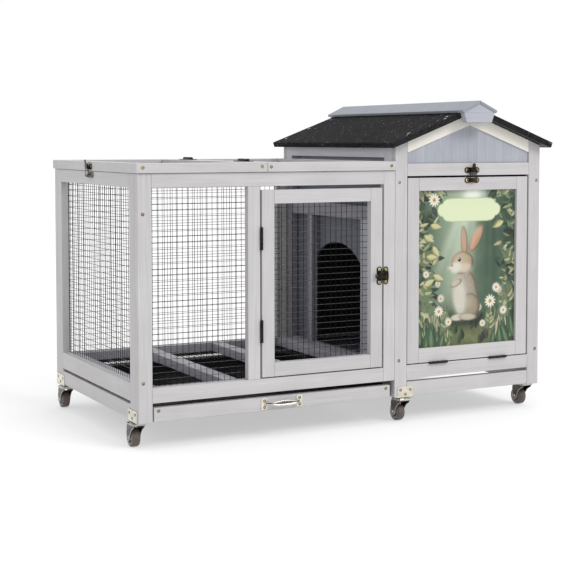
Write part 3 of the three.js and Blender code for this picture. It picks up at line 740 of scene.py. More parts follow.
def make_partition():
    x, y, z = extent("house_left_frame")
    near_edge, far_edge = y[0] + STILE, y[1] - STILE + 4
    near, far, middle = (y[0], near_edge), (far_edge, y[1]), (near_edge, far_edge)
    upper, lower = (UPPER_FOOT, z[1]), (z[0], UPPER_FOOT - 0.3)
    # The upper boards take a lighter paint, painted light under the eaves; the lower boards and the
    # doorway stiles take darker paints, painted shade inside the run.
    wall = Piece("partition_boards", PAINT, INNER_GREY_PAINTED_SHADE, EAVES_PAINTED_LIGHT, RUN_PAINTED_SHADE)
    wall.boards(SIDE, x, ((near, upper), (far, upper)), ((middle, (UPPER_RAIL_FOOT, z[1])),), 2)
    wall.boards(SIDE, x, ((near, lower), (far, lower)),
                ((middle, DOOR_RAIL), (middle, (z[0], DOORWAY["sill"]))), 1)
    for stile, material in zip(DOOR_STILES, (3, 1)):
        wall.boards(SIDE, x, ((stile, (DOORWAY["sill"], DOOR_RAIL[0])),), material=material)
    wall.finish("root", "paint", "house_left_frame")
    x, y, z = extent("house_left_panel")
    # The lower panel boards take a darker paint: painted shade inside the run.
    panel = Piece("partition_panel_boards", INNER_BLUE_PAINTED_SHADE, BLUE)
    seams = [z[0], 128, 195.6, 263, 330.5, 399.4, 467, 534.5, z[1]]
    for low, high in zip(seams, seams[1:]):
        partition_board(panel, y, (low, high), x, 1 if low > UPPER_FOOT else 0)
    panel.finish("root", "blue_paint", "house_left_panel")


def make_right_wall():
    x, y, z = extent("house_right_frame")
    near, far, middle = ends(y, STILE)
    wall = Piece("right_wall_boards", PAINT)
    rails = ((z[1] - STILE, z[1]), SIDE_LOW_RAIL, (z[0], SKIRT_TOP))
    wall.boards(SIDE, x, ((near, z), (far, z)), [(middle, rail) for rail in rails])
    wall.finish("root", "paint", "house_right_frame")
    x, y, z = extent("house_right_panel")
    # The panel's inner half takes a near-black paint: painted shade inside the house.
    panel = Piece("right_panel_boards", BLUE, HOUSE_INSIDE_PAINTED_SHADE)
    middle = (x[0] + x[1]) / 2
    panel.stack(SIDE, y, z, (middle, x[1]), count=7)
    panel.stack(SIDE, y, z, (x[0], middle), count=7, material=1)
    panel.finish("root", "blue_paint", "house_right_panel")


def make_back_wall():
    wall = Piece("house_back_boards", PAINT)
    house_posts(wall, BACK)
    rails = (CROSS_RAIL, LOW_RAIL, (LEG, SKIRT_TOP))
    wall.boards(FRONT, BACK, level=[(HOUSE_INNER, rail) for rail in rails])
    for foot, head in zip(HOUSE_INNER, (RIDGE_X - RIDGE_GAP, RIDGE_X + RIDGE_GAP)):
        gable_board(wall, foot, head, BACK)
    wall.finish("root", "paint", "house_back_frame")
    x, y, z = extent("house_back_panel")
    # The panel's inner half takes a near-black paint: painted shade inside the house.
    panel = Piece("house_back_panel_boards", BLUE, HOUSE_INSIDE_PAINTED_SHADE)
    middle = (y[0] + y[1]) / 2
    layers = ((middle, y[1]), (y[0], middle))
    panel_boards(panel, x, z[0], lambda u: gable_under(u) + 8, count=10, depths=layers, bevel=0.6)
    panel.finish("root", "blue_paint", "house_back_panel")
    x, y, z = extent("house_floor")
    # The house floor takes a darker blue-grey: painted shade inside the house.
    floor = Piece("house_floor_boards", INNER_BLUE_PAINTED_SHADE)
    floor.stack(LEVEL, x, y, z, count=7)
    floor.finish("root", "blue_paint", "house_floor")


# ---------------------------------------------------------------- roof
ROOF_Y = (-20, 541)
EAVE_HALF = 205
ROOF_THICK = 12
FELT_THICK = 1.7
TILT = math.atan(ROOF_SLOPE)
SLOPE_LENGTH = EAVE_HALF / math.cos(TILT)
RIDGE_LEAN = ROOF_THICK * math.tan(TILT)
FELT_Y = (ROOF_Y[0] + FELT_THICK, ROOF_Y[1] - FELT_THICK)
FELT_NAILS = ((58, 2), (71, -9), (160, 4), (173, -9), (58, 520), (120, 526), (190, 522))
ROOF_BOARDS = 4


def slope_matrix(side):
    """Local a runs down the slope from the ridge, b runs back, c stands off the underside."""
    down = Vector((side * math.cos(TILT), 0, -math.sin(TILT)))
    off = Vector((side * math.sin(TILT), 0, math.cos(TILT)))
    return place((RIDGE_X + side * RIDGE_GAP, 0, RIDGE_UNDER), down, Y_AXIS, off)


def felt_sheet(piece, matrix):
    """The felt over one slope, folded down over the eave, with slight ripples."""
    length, top, under = SLOPE_LENGTH, ROOF_THICK, ROOF_THICK - FELT_THICK
    spans, rows = 16, 70
    section = [(-RIDGE_LEAN, top)]
    section += [(length * i / spans, top) for i in range(1, spans)]
    section += [(length - 3, top), (length - 0.9, top - 0.9), (length, top - 3), (length, 0.4)]
    section += [(length - FELT_THICK, 0.4), (length - FELT_THICK, under)]
    section += [(length * i / spans, under) for i in range(spans - 1, 0, -1)]
    section += [(-RIDGE_LEAN + 0.6, under)]
    part = bmesh.new()
    rings = []
    for r in range(rows + 1):
        b = FELT_Y[0] + (FELT_Y[1] - FELT_Y[0]) * r / rows
        ring = []
        for i, (a, c) in enumerate(section):
            wave = math.sin(0.031 * b + 0.9 * i) * math.cos(0.083 * b - 0.4 * i)
            ripple = -0.35 - 0.35 * wave if 1 <= i <= spans + 1 else 0.0
            ring.append(part.verts.new((a, b, c + ripple)))
        rings.append(ring)
    skin(part, rings)
    piece.absorb(part, matrix)


def make_roof():
    for name, side in (("roof_board_left", -1), ("roof_board_right", 1)):
        matrix = slope_matrix(side)
        felt = Piece(name + "_felt", FELT, ZINC)
        felt_sheet(felt, matrix)
        section = [(0.4, 0.2), (SLOPE_LENGTH, 0.2), (SLOPE_LENGTH, ROOF_THICK - 0.6),
                   (SLOPE_LENGTH - 0.6, ROOF_THICK), (-RIDGE_LEAN + 0.3, ROOF_THICK)]
        for y in ((ROOF_Y[0], FELT_Y[0]), (FELT_Y[1], ROOF_Y[1])):
            felt.prism(matrix @ LYING, section, y, bevel=0.4)
        nail = [(0, 0), (3.4, 0), (3.6, 0.35), (2.6, 0.62), (0, 0.68)]
        for x, y in FELT_NAILS:
            felt.lathe(shifted(matrix, x, y, ROOF_THICK - 0.7), nail, 16, 1)
        felt.finish("root", "roof_felt", name)
        wood = Piece(name + "_boards", NEAR_BLACK_WOOD)
        wide = (SLOPE_LENGTH - FELT_THICK - 1.3) / ROOF_BOARDS
        y, depth = (FELT_Y[0] + 0.2, FELT_Y[1] - 0.2), (0.2, ROOF_THICK - FELT_THICK - 0.45)
        for i in range(ROOF_BOARDS):
            across = (1 + wide * i, 1 + wide * (i + 1))
            wood.board(matrix, across, y, depth, upright=True, bevel=0.5)
        wood.finish("root", "paint")


def make_ridge_cap():
    """Two sloping boards, with a five-sided block under each end."""
    x, y, z = extent("ridge_cap")
    top, half, thick = z[1], (x[1] - x[0]) / 2, 6.6
    edge = top - 21.5
    cap = Piece("ridge_cap_boards", CAP_BLUE, BLUE)
    for side in (-1, 1):
        outline = [(RIDGE_X + side * half, edge),
                   (RIDGE_X + side * (half - 2.5), edge - thick + 1),
                   (RIDGE_X + side * 0.1, top - thick), (RIDGE_X + side * 0.1, top)]
        cap.prism(FRONT, outline, y, grain=(0, 0.01), bevel=0.7)
    block = [(RIDGE_X + a, b) for a, b in
             ((-32.6, 634.2), (32.6, 634.2), (41, 657.8), (0, 677.6), (-41, 657.8))]
    for depth in ((y[0] + 2.3, y[0] + 17.7), (y[1] - 18.7, y[1] - 3.3)):
        cap.prism(FRONT, block, depth, bevel=1.1, material=1)
    cap.finish("root", "blue_paint", "ridge_cap")


# ---------------------------------------------------------------- screws
SCREW_SIDES = 24


def screw(piece, matrix, radius=3.6, material=0):
    """A countersunk screw head with a cross recess. Local c points out of the wood."""
    part = bmesh.new()
    profile = ((radius, -0.6), (radius, 0.15), (radius * 0.93, 0.38), (radius * 0.66, 0.5))
    rings = [[part.verts.new((a, b, c)) for a, b in circle(r, SCREW_SIDES)] for r, c in profile]
    arm, thick = radius * 0.52, radius * 0.13
    cross = []
    for quarter in range(4):
        turn = Matrix.Rotation(quarter * RIGHT_ANGLE, 2)
        cross += [turn @ Vector(point) for point in ((arm, -thick), (arm, thick), (thick, thick))]
    rim = [part.verts.new((p.x, p.y, 0.5)) for p in cross]
    well = [part.verts.new((p.x * 0.8, p.y * 0.8, -0.4)) for p in cross]
    for one, two in list(zip(rings, rings[1:])) + [(rim, well)]:
        for corners in ring_faces(one, two):
            part.faces.new(corners)
    part.faces.new(rings[0])
    part.faces.new(well)
    loops = [part.edges.get(pair) for ring in (rim, rings[-1])
             for pair in zip(ring, ring[1:] + ring[:1])]
    bmesh.ops.bridge_loops(part, edges=loops)
    turn = Matrix.Rotation(chance.uniform(0, math.pi), 4, "Z")
    piece.absorb(part, matrix @ turn, material=material)


# Where each body's screws are, and the way they face.
SCREWS = {
    "root": (
        (TO_FRONT, ((11, 0, 454), (10, 0, 127), (588, 0, 507), (947, 0, 507), (588, 0, 127.5),
                    (947, 0, 127.5), (284, -4, 543), (566, -4, 543))),
        (TO_BACK, [(x, 522, z) for x in (10, 588, 947, 564) for z in (454, 127)]
                  + [(284, 526, 543), (566, 526, 543)]),
        (TO_RIGHT, [(956, y, z) for y in (30, 490) for z in (505, 127)]),
    ),
    "run_lid": ((TO_FRONT, ((10.5, -4, 543.5), (264, -4, 543.5))),
                (TO_BACK, ((10.5, 526, 543.5), (264, 526, 543.5)))),
    "tray": ((TO_FRONT, ((556, 0, 71), (41, 0, 71))),),
}


def make_screws():
    for body, faces in SCREWS.items():
        piece = Piece(body + "_screws", BRASS)
        for out, places in faces:
            for origin in places:
                screw(piece, facing(origin, out))
        piece.finish(body, "screw_brass")


# ---------------------------------------------------------------- hinges
KNUCKLE = 2.9
BORE = 1.7
PIN = 1.4
HINGE_LENGTH = 46
KNUCKLES = 5
KNUCKLE_PLAY = 0.15
LEAF_REACH = 13.2


def hinge(node, body, centre, reach, off, leaves, open_flat):
    """A butt hinge. reach points along the fixed leaf, off is its thickness direction, and the
    pin runs along the third axis. leaves gives the fixed and the moving leaf's (low, high) along
    off. A hinge that lies open flat has its moving leaf on the far side, and shows its screws."""
    pin = X_AXIS + Y_AXIS + Z_AXIS - reach - off
    matrix = place(centre, reach, off, pin)
    half = HINGE_LENGTH / 2
    fixed = Piece(node + "_fixed", HINGE, BRASS)
    moving = Piece(node + "_moving", HINGE, BRASS)
    for i in range(KNUCKLES):
        low = -half + HINGE_LENGTH * i / KNUCKLES + KNUCKLE_PLAY
        high = -half + HINGE_LENGTH * (i + 1) / KNUCKLES - KNUCKLE_PLAY
        ring = [(BORE, low), (KNUCKLE - 0.3, low), (KNUCKLE, low + 0.3), (KNUCKLE, high - 0.3),
                (KNUCKLE - 0.3, high), (BORE, high)]
        (moving if i % 2 else fixed).lathe(matrix, ring, 20, ring=True)
    fixed.lathe(matrix, [(0, -half), (PIN, -half), (PIN, half), (0, half)], 16)
    for piece, spread, side in zip((fixed, moving), leaves, (1, -1 if open_flat else 1)):
        span = sorted((side * (BORE + 0.5), side * LEAF_REACH))
        piece.prism(matrix, rectangle(span, spread), (-half, half), bevel=0.2)
        if open_flat:
            for c in (-15, 0, 15):
                screw(piece, shifted(matrix, side * 8, spread[1], c) @ LYING, 2.2, 1)
    fixed.finish("root", "hinge_black", node)
    moving.finish(body, "hinge_black")


def make_hinges():
    leaves = (-1.7, -0.8), (1.15, 1.9)
    for node, z in (("door_hinge_upper", 399), ("door_hinge_lower", 211.5)):
        hinge(node, "run_door", (263, -3.2, z), Y_AXIS, X_AXIS, leaves, False)
    leaves = (-0.9, -0.1), (0.15, 0.95)
    for node, x in (("flap_hinge_left", 687), ("flap_hinge_right", 843)):
        hinge(node, "house_flap", (x, -3.2, 117.2), Y_AXIS, Z_AXIS, leaves, False)
    leaves = (-3.0, -1.8), (-3.0, -1.8)
    for node, y in (("lid_hinge_front", 111), ("lid_hinge_rear", 408)):
        hinge(node, "run_lid", (276.4, y, 555.3), X_AXIS, Z_AXIS, leaves, True)


# ---------------------------------------------------------------- toggle latches
def stadium(half, reach, centre):
    """A latch plate's outline: straight sides with a round ear at each end."""
    outline = []
    for side in (1, -1):
        waist = (centre - side * half * 0.84, reach - 2.6 * half)
        outline += [(centre + side * a, side * (reach - half + b)) for a, b in
                    arc((0, 0), half, 0, math.pi, 8)]
        outline += [(waist[0], side * waist[1]), (waist[0], -side * waist[1])]
    return outline


# A latch plate's under and upper faces, off the surface that it is screwed to.
LATCH_PLATE = (0.05, 1.2)


def latch_screws(piece, matrix, centre, spread):
    for side in (-1, 1):
        screw(piece, shifted(matrix, centre, 1.05, side * spread) @ LOOKING_OUT, 3.4, 1)


def latch_base(name, matrix, body):
    base = Piece(name + "_base", BRONZE, BRIGHT_BRASS)
    base.prism(matrix @ LYING, stadium(6.6, 19.5, 2.4), LATCH_PLATE, bevel=0.3)
    cheek = [(-3.4, 0.8), (4.4, 0.8), (3.6, 5.2), (1.6, 6.6), (-1.6, 6.6), (-3.2, 5.2)]
    for side in (-1, 1):
        base.prism(matrix, cheek, sorted((side * 9.4, side * 10.3)), bevel=0.2)
    barrel = [(0, -10.7), (1.1, -10.7), (1.4, -10.4), (1.4, 10.4), (1.1, 10.7), (0, 10.7)]
    base.lathe(shifted(matrix, 0, 4.4, 0), barrel, 14)
    latch_screws(base, matrix, 2.4, 13.6)
    base.finish(body, "latch_bronze")


def latch_lever(name, matrix, body):
    """A pressed channel that is broad over its pivot and narrows to a round finger tip."""
    lever = Piece(name + "_plate", DARK_BRONZE, SMOKED_ZINC_PAINTED_REFLECTION)
    broad = [(-3.0, 3.2), (-2.7, 5.4), (-1.0, 6.9), (2.4, 7.3), (6.6, 7.5)]
    lever.prism(matrix, strip(broad, 0.6), (-7.0, 7.0), bevel=0.3)
    finger = shifted(matrix, 5.6, 7.5, 0) @ Matrix.Rotation(math.radians(10), 4, "Z")
    edge = [(-0.6, -6.6), (1.6, -5.6), (3.4, -4.2)] + arc((7.6, 0), 4.3, -1.75, 3.5, 14)
    edge += [(3.4, 4.2), (1.6, 5.6), (-0.6, 6.6)]
    lever.prism(finger @ LYING, edge, (-0.6, 0.6), bevel=0.35)
    pad = shifted(finger, 7.2, 0.5, 0) @ Matrix.Rotation(-RIGHT_ANGLE, 4, "X")
    lever.lathe(pad, [(0, 0), (2.9, 0), (2.6, 0.4), (1.5, 0.75), (0, 0.85)], 20, 1)
    web = [(-2.6, 2.9), (2.6, 2.9), (5.5, 4.6), (8.4, 7.4), (3, 7.0), (-0.6, 6.7), (-2.4, 5.4)]
    for side in (-1, 1):
        lever.prism(matrix, web, sorted((side * 6.2, side * 7.0)), bevel=0.15)
    lever.finish(body, "latch_bronze", name)


def latch_link(name, matrix, keeper_at, body):
    """A flat strap with a window, from the lever's pivot to behind the keeper's hook."""
    end = keeper_at - 3.4
    link = Piece(name + "_link", DARK_BRONZE)
    side_view = [(0.9, 4.4), (-3.6, 4.9), (end + 4, 6.1), (end, 6.1)]
    for side in (-1, 1):
        link.prism(matrix, strip(side_view, 0.5), sorted((side * 7.3, side * 9.1)), bevel=0.2)
    link.prism(matrix, strip([(end + 2.4, 6.1), (end, 6.1)], 0.5), (-7.3, 7.3), bevel=0.2)
    link.prism(matrix, strip([(-4.9, 5.1), (-7.6, 5.45)], 0.5), (-7.3, 7.3), bevel=0.2)
    link.finish(body, "latch_bronze")


def latch_keeper(name, matrix, keeper_at, drop, body):
    """A plate with a hook. It lies deeper than the face under the base, by drop."""
    low = shifted(matrix, 0, -drop, 0)
    keeper = Piece(name + "_keeper", BRONZE, BRIGHT_BRASS)
    keeper.prism(low @ LYING, stadium(6.2, 19.0, keeper_at), LATCH_PLATE, bevel=0.3)
    k, up = keeper_at, drop
    hook = [(k + 2.8, 0.7), (k + 1.4, 3.2 + up), (k - 1.0, 5.0 + up), (k - 4.8, 5.1 + up),
            (k - 5.0, 4.1 + up), (k - 1.6, 3.9 + up), (k, 2.2 + up), (k + 0.8, 0.7)]
    keeper.prism(low, hook, (-5.6, 5.6), bevel=0.25)
    latch_screws(keeper, low, keeper_at, 13.2)
    keeper.finish(body, "latch_bronze")


def latch(name, bodies, foot, along, out, keeper_at, keeper_drop):
    """A toggle latch. Local a runs to the lever's finger tip, b stands out of the face and c
    runs across. bodies says what the lever, base, link and keeper ride on."""
    along, out = Vector(along), Vector(out)
    matrix = place(foot, along, out, along.cross(out))
    lever_body, base_body, link_body, keeper_body = bodies
    latch_lever(name + "_lever", matrix, lever_body)
    latch_base(name, matrix, base_body)
    latch_link(name, matrix, keeper_at, link_body)
    latch_keeper(name, matrix, keeper_at, keeper_drop, keeper_body)


def make_latches():
    latch("door_latch", ("door_latch", "run_door", "run_door", "root"),
          (541, 0, 311.5), (-1, 0, 0), (0, -1, 0), -13.4, 0)
    latch("flap_latch", ("flap_latch", "root", "house_flap", "house_flap"),
          (772.5, 0, 529), (0, 0, 1), (0, -1, 0), -19.5, 0)
    latch("lid_latch", ("lid_latch", "run_lid", "run_lid", "root"),
          (-3, 273, 539), (0, 0, 1), (-1, 0, 0), -15, 3)


# ---------------------------------------------------------------- tray
PAN_FLOOR = 2.0


def make_tray():
    x, y, z = extent("tray_pan")
    part = bmesh.new()
    rings = []
    for inset, height in (
            (3, z[0]), (1.8, z[0] + 1.2), (1.2, z[1] - 3), (0, z[1] - 2.4), (0, z[1] - 0.4),
            (0.4, z[1]), (2.6, z[1]), (3.2, z[1] - 1), (3.8, z[0] + PAN_FLOOR + 1.2),
            (5, z[0] + PAN_FLOOR)):
        outline = rounded_rectangle((x[0] + inset, x[1] - inset), (y[0] + inset, y[1] - inset),
                                    10 - min(inset, 4), 5)
        rings.append([part.verts.new((a, b, height)) for a, b in outline])
    skin(part, rings)
    pan = Piece("tray_pan_moulding", TRAY)
    pan.absorb(part, LEVEL)
    pan.finish("tray", "tray_black", "tray_pan")
    single_board("tray_front", body="tray")


HANDLE_REACH = 15.6
HANDLE_STEPS = 28
FOOT_WIDE = 14
# The handle is pressed from sheet: two bright bars with a dark bar set back between them,
# which is a painted dark reflection and shade. Each bar has its rise and its distance back at
# mid-length, its radius, its flatness and its material.
HANDLE_BARS = ((-2.2, 0, 3.1, 0.8, 0), (2.2, 2.2, 2.8, 0.8, 3), (6.0, 1.4, 1.5, 0.9, 0))


def make_handle():
    x, y, z = extent("tray_handle")
    handle = Piece("tray_pull", CHROME, BRASS, YELLOW_ZINC, SMOKED_ZINC_PAINTED_REFLECTION)
    for left in (x[0], x[1] - FOOT_WIDE):
        outline = rounded_rectangle((left, left + FOOT_WIDE), z, 3.4)
        handle.prism(FRONT, outline, (-1.6, -0.05), bevel=0.35, material=2)
        for height in (z[0] + 5.4, z[1] - 5.4):
            screw(handle, facing((left + FOOT_WIDE / 2, -1.6, height), TO_FRONT), 3.3, 1)
    start, end, middle = x[0] + 9, x[1] - 9, (z[0] + z[1]) / 2
    for rise, set_back, radius, flat, material in HANDLE_BARS:
        path = []
        for i in range(HANDLE_STEPS + 1):
            t = i / HANDLE_STEPS
            bend = math.sin(min(1.0, 5.5 * min(t, 1 - t)) * RIGHT_ANGLE) ** 0.8
            bow = bend * (0.86 + 0.14 * math.sin(math.pi * t))
            spread = math.sin(math.pi * t) ** 0.9
            path.append(Vector((start + (end - start) * t, middle + rise * spread,
                                -1.2 - HANDLE_REACH * bow + set_back * spread)))
        handle.tube(FRONT, path, radius, 16, material, flat)
    handle.finish("tray", "zinc", "tray_handle")


# ---------------------------------------------------------------- casters
# Heights in a caster's own frame are measured from the ground.
WHEEL_R = 19
TRAIL = 20
SWIVEL_TURN = math.radians(90)
# Each caster's swivel is at (x, y). Its angle plate lies on a face of the hutch, from one place
# along it to another.
CASTERS = {
    "front_left": ((8, 31), "left", (8, 57)), "rear_left": ((8, 475), "left", (466, 515)),
    "front_mid": ((600, 5), "front", (584, 624)), "rear_mid": ((592, 500), "back", (572, 612)),
    "front_right": ((941, 31), "right", (10, 54)), "rear_right": ((941, 475), "right", (455, 499)),
}
PLATE_THICK = 1.4
PLATE_GAP = 0.05
PLATE_CORNER = 3


def axle_line(matrix):
    return shifted(matrix, TRAIL, 0, WHEEL_R) @ Matrix.Rotation(RIGHT_ANGLE, 4, "X")


def caster_fork(name, matrix):
    """A pressed fork: dark cheeks with a bright bead along the edge and round the axle's eye."""
    fork = Piece("caster_" + name + "_fork", ZINC, SMOKED_ZINC_PAINTED_REFLECTION, HINGE)
    upright = matrix @ LYING
    across = matrix @ Matrix(((0, 0, 1, 0), (1, 0, 0, 0), (0, 1, 0, 0), (0, 0, 0, 1)))
    edge = [(-11, 43.4), (-5, 40.6), (2, 36), (7.4, 29.6), (11.6, 22.6)]
    edge += arc((TRAIL, WHEEL_R), 6.9, math.radians(196), math.radians(182), 10) + [(28.6, 31)]
    cheek = [(-13.4, 49.4), (-13.6, 46.2)] + edge + [(28.8, 38.6), (26.4, 45), (23.4, 49.4)]
    # Black sheets inside the cheeks and under the bridge are painted shade in the fork's hollow.
    painted_shade_lining = [(-9, 46), (4, 40), (12, 30), (16, 24), (24, 24), (26, 32), (25, 46)]
    # The dark cheeks and the bright bead along their edge are painted reflection on one plated
    # sheet.
    for side in (-1, 1):
        fork.prism(upright, cheek, sorted((side * 9.4, side * 11.2)), bevel=0.6, material=1)
        fork.prism(upright, strip(edge, 0.85), sorted((side * 10.6, side * 11.9)), bevel=0.3)
        fork.prism(upright, painted_shade_lining, sorted((side * 8.95, side * 9.45)), bevel=0.1, material=2)
        flare = [(side * 9.8, 46.2), (side * 14.2, 48.2), (side * 14.2, 49.6), (side * 9.8, 49.6)]
        fork.prism(across, flare, (-12, 20), bevel=0.4, material=1)
        turn = Matrix.Rotation(-side * RIGHT_ANGLE, 4, "X")
        bolt = shifted(matrix, TRAIL, side * 11.2, WHEEL_R) @ turn
        fork.lathe(bolt, [(0, -0.4), (4.2, -0.4), (4.2, 0.1), (0, 0.1)], 6)
    bridge = [(-13.8, -14), (-9, -14.4), (20, -14.4), (25.6, -11)]
    fork.prism(matrix, bridge + [(a, -b) for a, b in reversed(bridge)], (46.8, 49.6), bevel=0.9)
    # A black sheet under the bridge: painted shade.
    fork.prism(matrix, rectangle((-11, 24), (-9, 9)), (46.2, 46.9), bevel=0.1, material=2)
    race = [(0, 49), (15.4, 49), (16.2, 49.6), (16.2, 50.4), (13.6, 50.9), (12.8, 51.6), (0, 51.6)]
    fork.lathe(matrix, race, 36)
    fork.lathe(axle_line(matrix), [(0, -10.8), (2.5, -10.8), (2.5, 10.8), (0, 10.8)], 16)
    fork.finish("caster_" + name, "zinc", "caster_fork_" + name)


def both_sides(profile):
    """A turned profile from one side of the wheel, and its mirror image."""
    return profile + [(radius, -c) for radius, c in reversed(profile)]


def caster_wheel(name, matrix):
    wheel = Piece("caster_" + name + "_wheel", TYRE, HUB, TYRE_FACE)
    axle = axle_line(matrix)
    tread = both_sides([(14.2, -8.3), (16, -8.4), (17.6, -7.8), (18.7, -6.2), (19, -3.5)])
    wheel.lathe(axle, tread, 44, ring=True)
    for side in (-1, 1):
        lip = ((12.2, 6.2), (12.4, 8.1), (13.2, 8.6), (14.1, 8.5), (14.2, 6.2))
        boss = ((2.95, 4), (2.95, 8.6), (5.4, 8.6), (6.2, 7.6), (6.2, 4))
        for profile, sides in ((lip, 40), (boss, 24)):
            wheel.lathe(axle, [(radius, side * c) for radius, c in profile], sides, 1, ring=True)
    wheel.lathe(axle, both_sides([(2.95, -5.4), (12.3, -6.0), (14.2, -6.4)]), 36, 2, ring=True)
    wheel.finish("wheel_" + name, "wheel", "caster_wheel_" + name)


# A face's frame, its place through the hutch, and the way out of it.
FACES = {"front": (FRONT, 0, TO_FRONT), "back": (FRONT, DEPTH, TO_BACK),
         "left": (SIDE, 0, TO_LEFT), "right": (SIDE, WIDTH, TO_RIGHT)}


def corner_plate(name, face, span):
    """The angle plate that holds a caster: one flange under the leg, one up its face."""
    matrix, near, out = FACES[face]
    sign = sum(out)
    low, high, corner = LEG - 1.5, LEG + 23, PLATE_CORNER
    surface = near + sign * (PLATE_GAP + PLATE_THICK)
    plate = Piece("caster_" + name + "_plate", YELLOW_ZINC, BRASS)
    outline = [(span[0], low), (span[1], low), (span[1], high - corner), (span[1] - corner, high),
               (span[0] + corner, high), (span[0], high - corner)]
    plate.prism(matrix, outline, sorted((near + sign * PLATE_GAP, surface)), bevel=0.3)
    inward = sorted((surface, near - sign * 34))
    under = rectangle(inward, span) if matrix is SIDE else rectangle(span, inward)
    plate.prism(LEVEL, under, (low, low + 1.35), bevel=0.3)
    for u, height in ((span[0] + 8, high - 7), (span[1] - 8, high - 7), (sum(span) / 2, low + 8)):
        spot = (surface, u, height) if matrix is SIDE else (u, surface, height)
        screw(plate, facing(spot, out), 3.3, 1)
    plate.finish("root", "zinc")


def make_casters():
    along = Vector((math.cos(SWIVEL_TURN), math.sin(SWIVEL_TURN), 0))
    across = Z_AXIS.cross(along)
    for name, ((x, y), face, span) in CASTERS.items():
        matrix = place((x, y, GROUND), along, across, Z_AXIS)
        caster_fork(name, matrix)
        caster_wheel(name, matrix)
        corner_plate(name, face, span)


# ---------------------------------------------------------------- the flap's printed picture
# Places on the picture are millimetres from its lower left corner, and turns are in degrees.
INK_DEPTH = 0.77
PICTURE_STEP = 1.3


def soft_step(distance, soft):
    """1 well inside a shape, 0 well outside, from a distance that is positive inside."""
    return 1 / (1 + np.exp(np.clip(-distance / soft * 2.4, -30, 30)))


def lighter(levels, step):
    return [min(255, c + step) for c in levels]


class Canvas:
    """Colours the points of a panel, width by height millimetres from its lower left."""

    def __init__(self, width, height, step):
        self.columns = int(width / step) + 1
        self.rows = int(height / step) + 1
        self.width, self.height = width, height
        self.u, self.v = np.meshgrid(np.linspace(0, width, self.columns),
                                     np.linspace(0, height, self.rows))
        self.colour = np.zeros(self.u.shape + (3,))

    def window(self, cu, cv, reach):
        """The part of the canvas within reach of a point."""
        du, dv = self.width / (self.columns - 1), self.height / (self.rows - 1)
        columns = slice(max(0, int((cu - reach) / du)), max(0, int((cu + reach) / du) + 2))
        rows = slice(max(0, int((cv - reach) / dv)), max(0, int((cv + reach) / dv) + 2))
        return rows, columns

    def lay(self, mask, levels, part=(slice(None), slice(None))):
        tint = np.array([linear(v) * INK_DEPTH for v in levels])
        area = self.colour[part]
        area += (tint - area) * np.clip(mask, 0, 1)[..., None]

    def local(self, part, cu, cv, turn):
        c, s = math.cos(math.radians(turn)), math.sin(math.radians(turn))
        du, dv = self.u[part] - cu, self.v[part] - cv
        return du * c + dv * s, dv * c - du * s

    def disc(self, cu, cv, ru, rv, levels, turn=0, soft=0.9, strength=1.0):
        part = self.window(cu, cv, max(ru, rv) + 3 * soft)
        a, b = self.local(part, cu, cv, turn)
        mask = soft_step((1 - np.hypot(a / ru, b / rv)) * min(ru, rv), soft)
        self.lay(mask * strength, levels, part)

    def blade(self, cu, cv, length, width, turn, levels, curl=0.0, vein=0.35, strength=0.96):
        """A pointed leaf or petal from its foot at (cu, cv), lighter above its midrib."""
        part = self.window(cu, cv, length * 1.1 + width)
        a, b = self.local(part, cu, cv, turn)
        t = np.clip(a / length, 0, 1)
        b = b - curl * length * t * t
        half = width * np.sin(np.pi * t ** 0.8)
        mask = soft_step(half - np.abs(b) - np.where((a < 0) | (a > length), 5, 0), 0.7) * strength
        self.lay(mask, levels, part)
        self.lay(mask * (b > 0) * 0.3, lighter(levels, 34), part)
        self.lay(mask * np.exp(-(b / 0.6) ** 2) * vein, lighter(levels, 62), part)

    def haze(self, seed, size):
        """Soft random light, from 0 to 1."""
        rng = np.random.default_rng(seed)
        total = np.zeros(self.u.shape)
        for octave in range(4):
            scale = size / 2 ** octave
            for _ in range(4):
                angle = rng.uniform(0, math.pi)
                phase = rng.uniform(0, 2 * math.pi)
                wave = (self.u * math.cos(angle) + self.v * math.sin(angle)) / scale
                total += np.sin(wave * 2 * math.pi + phase) / 2 ** octave
        total -= total.min()
        return total / total.max()


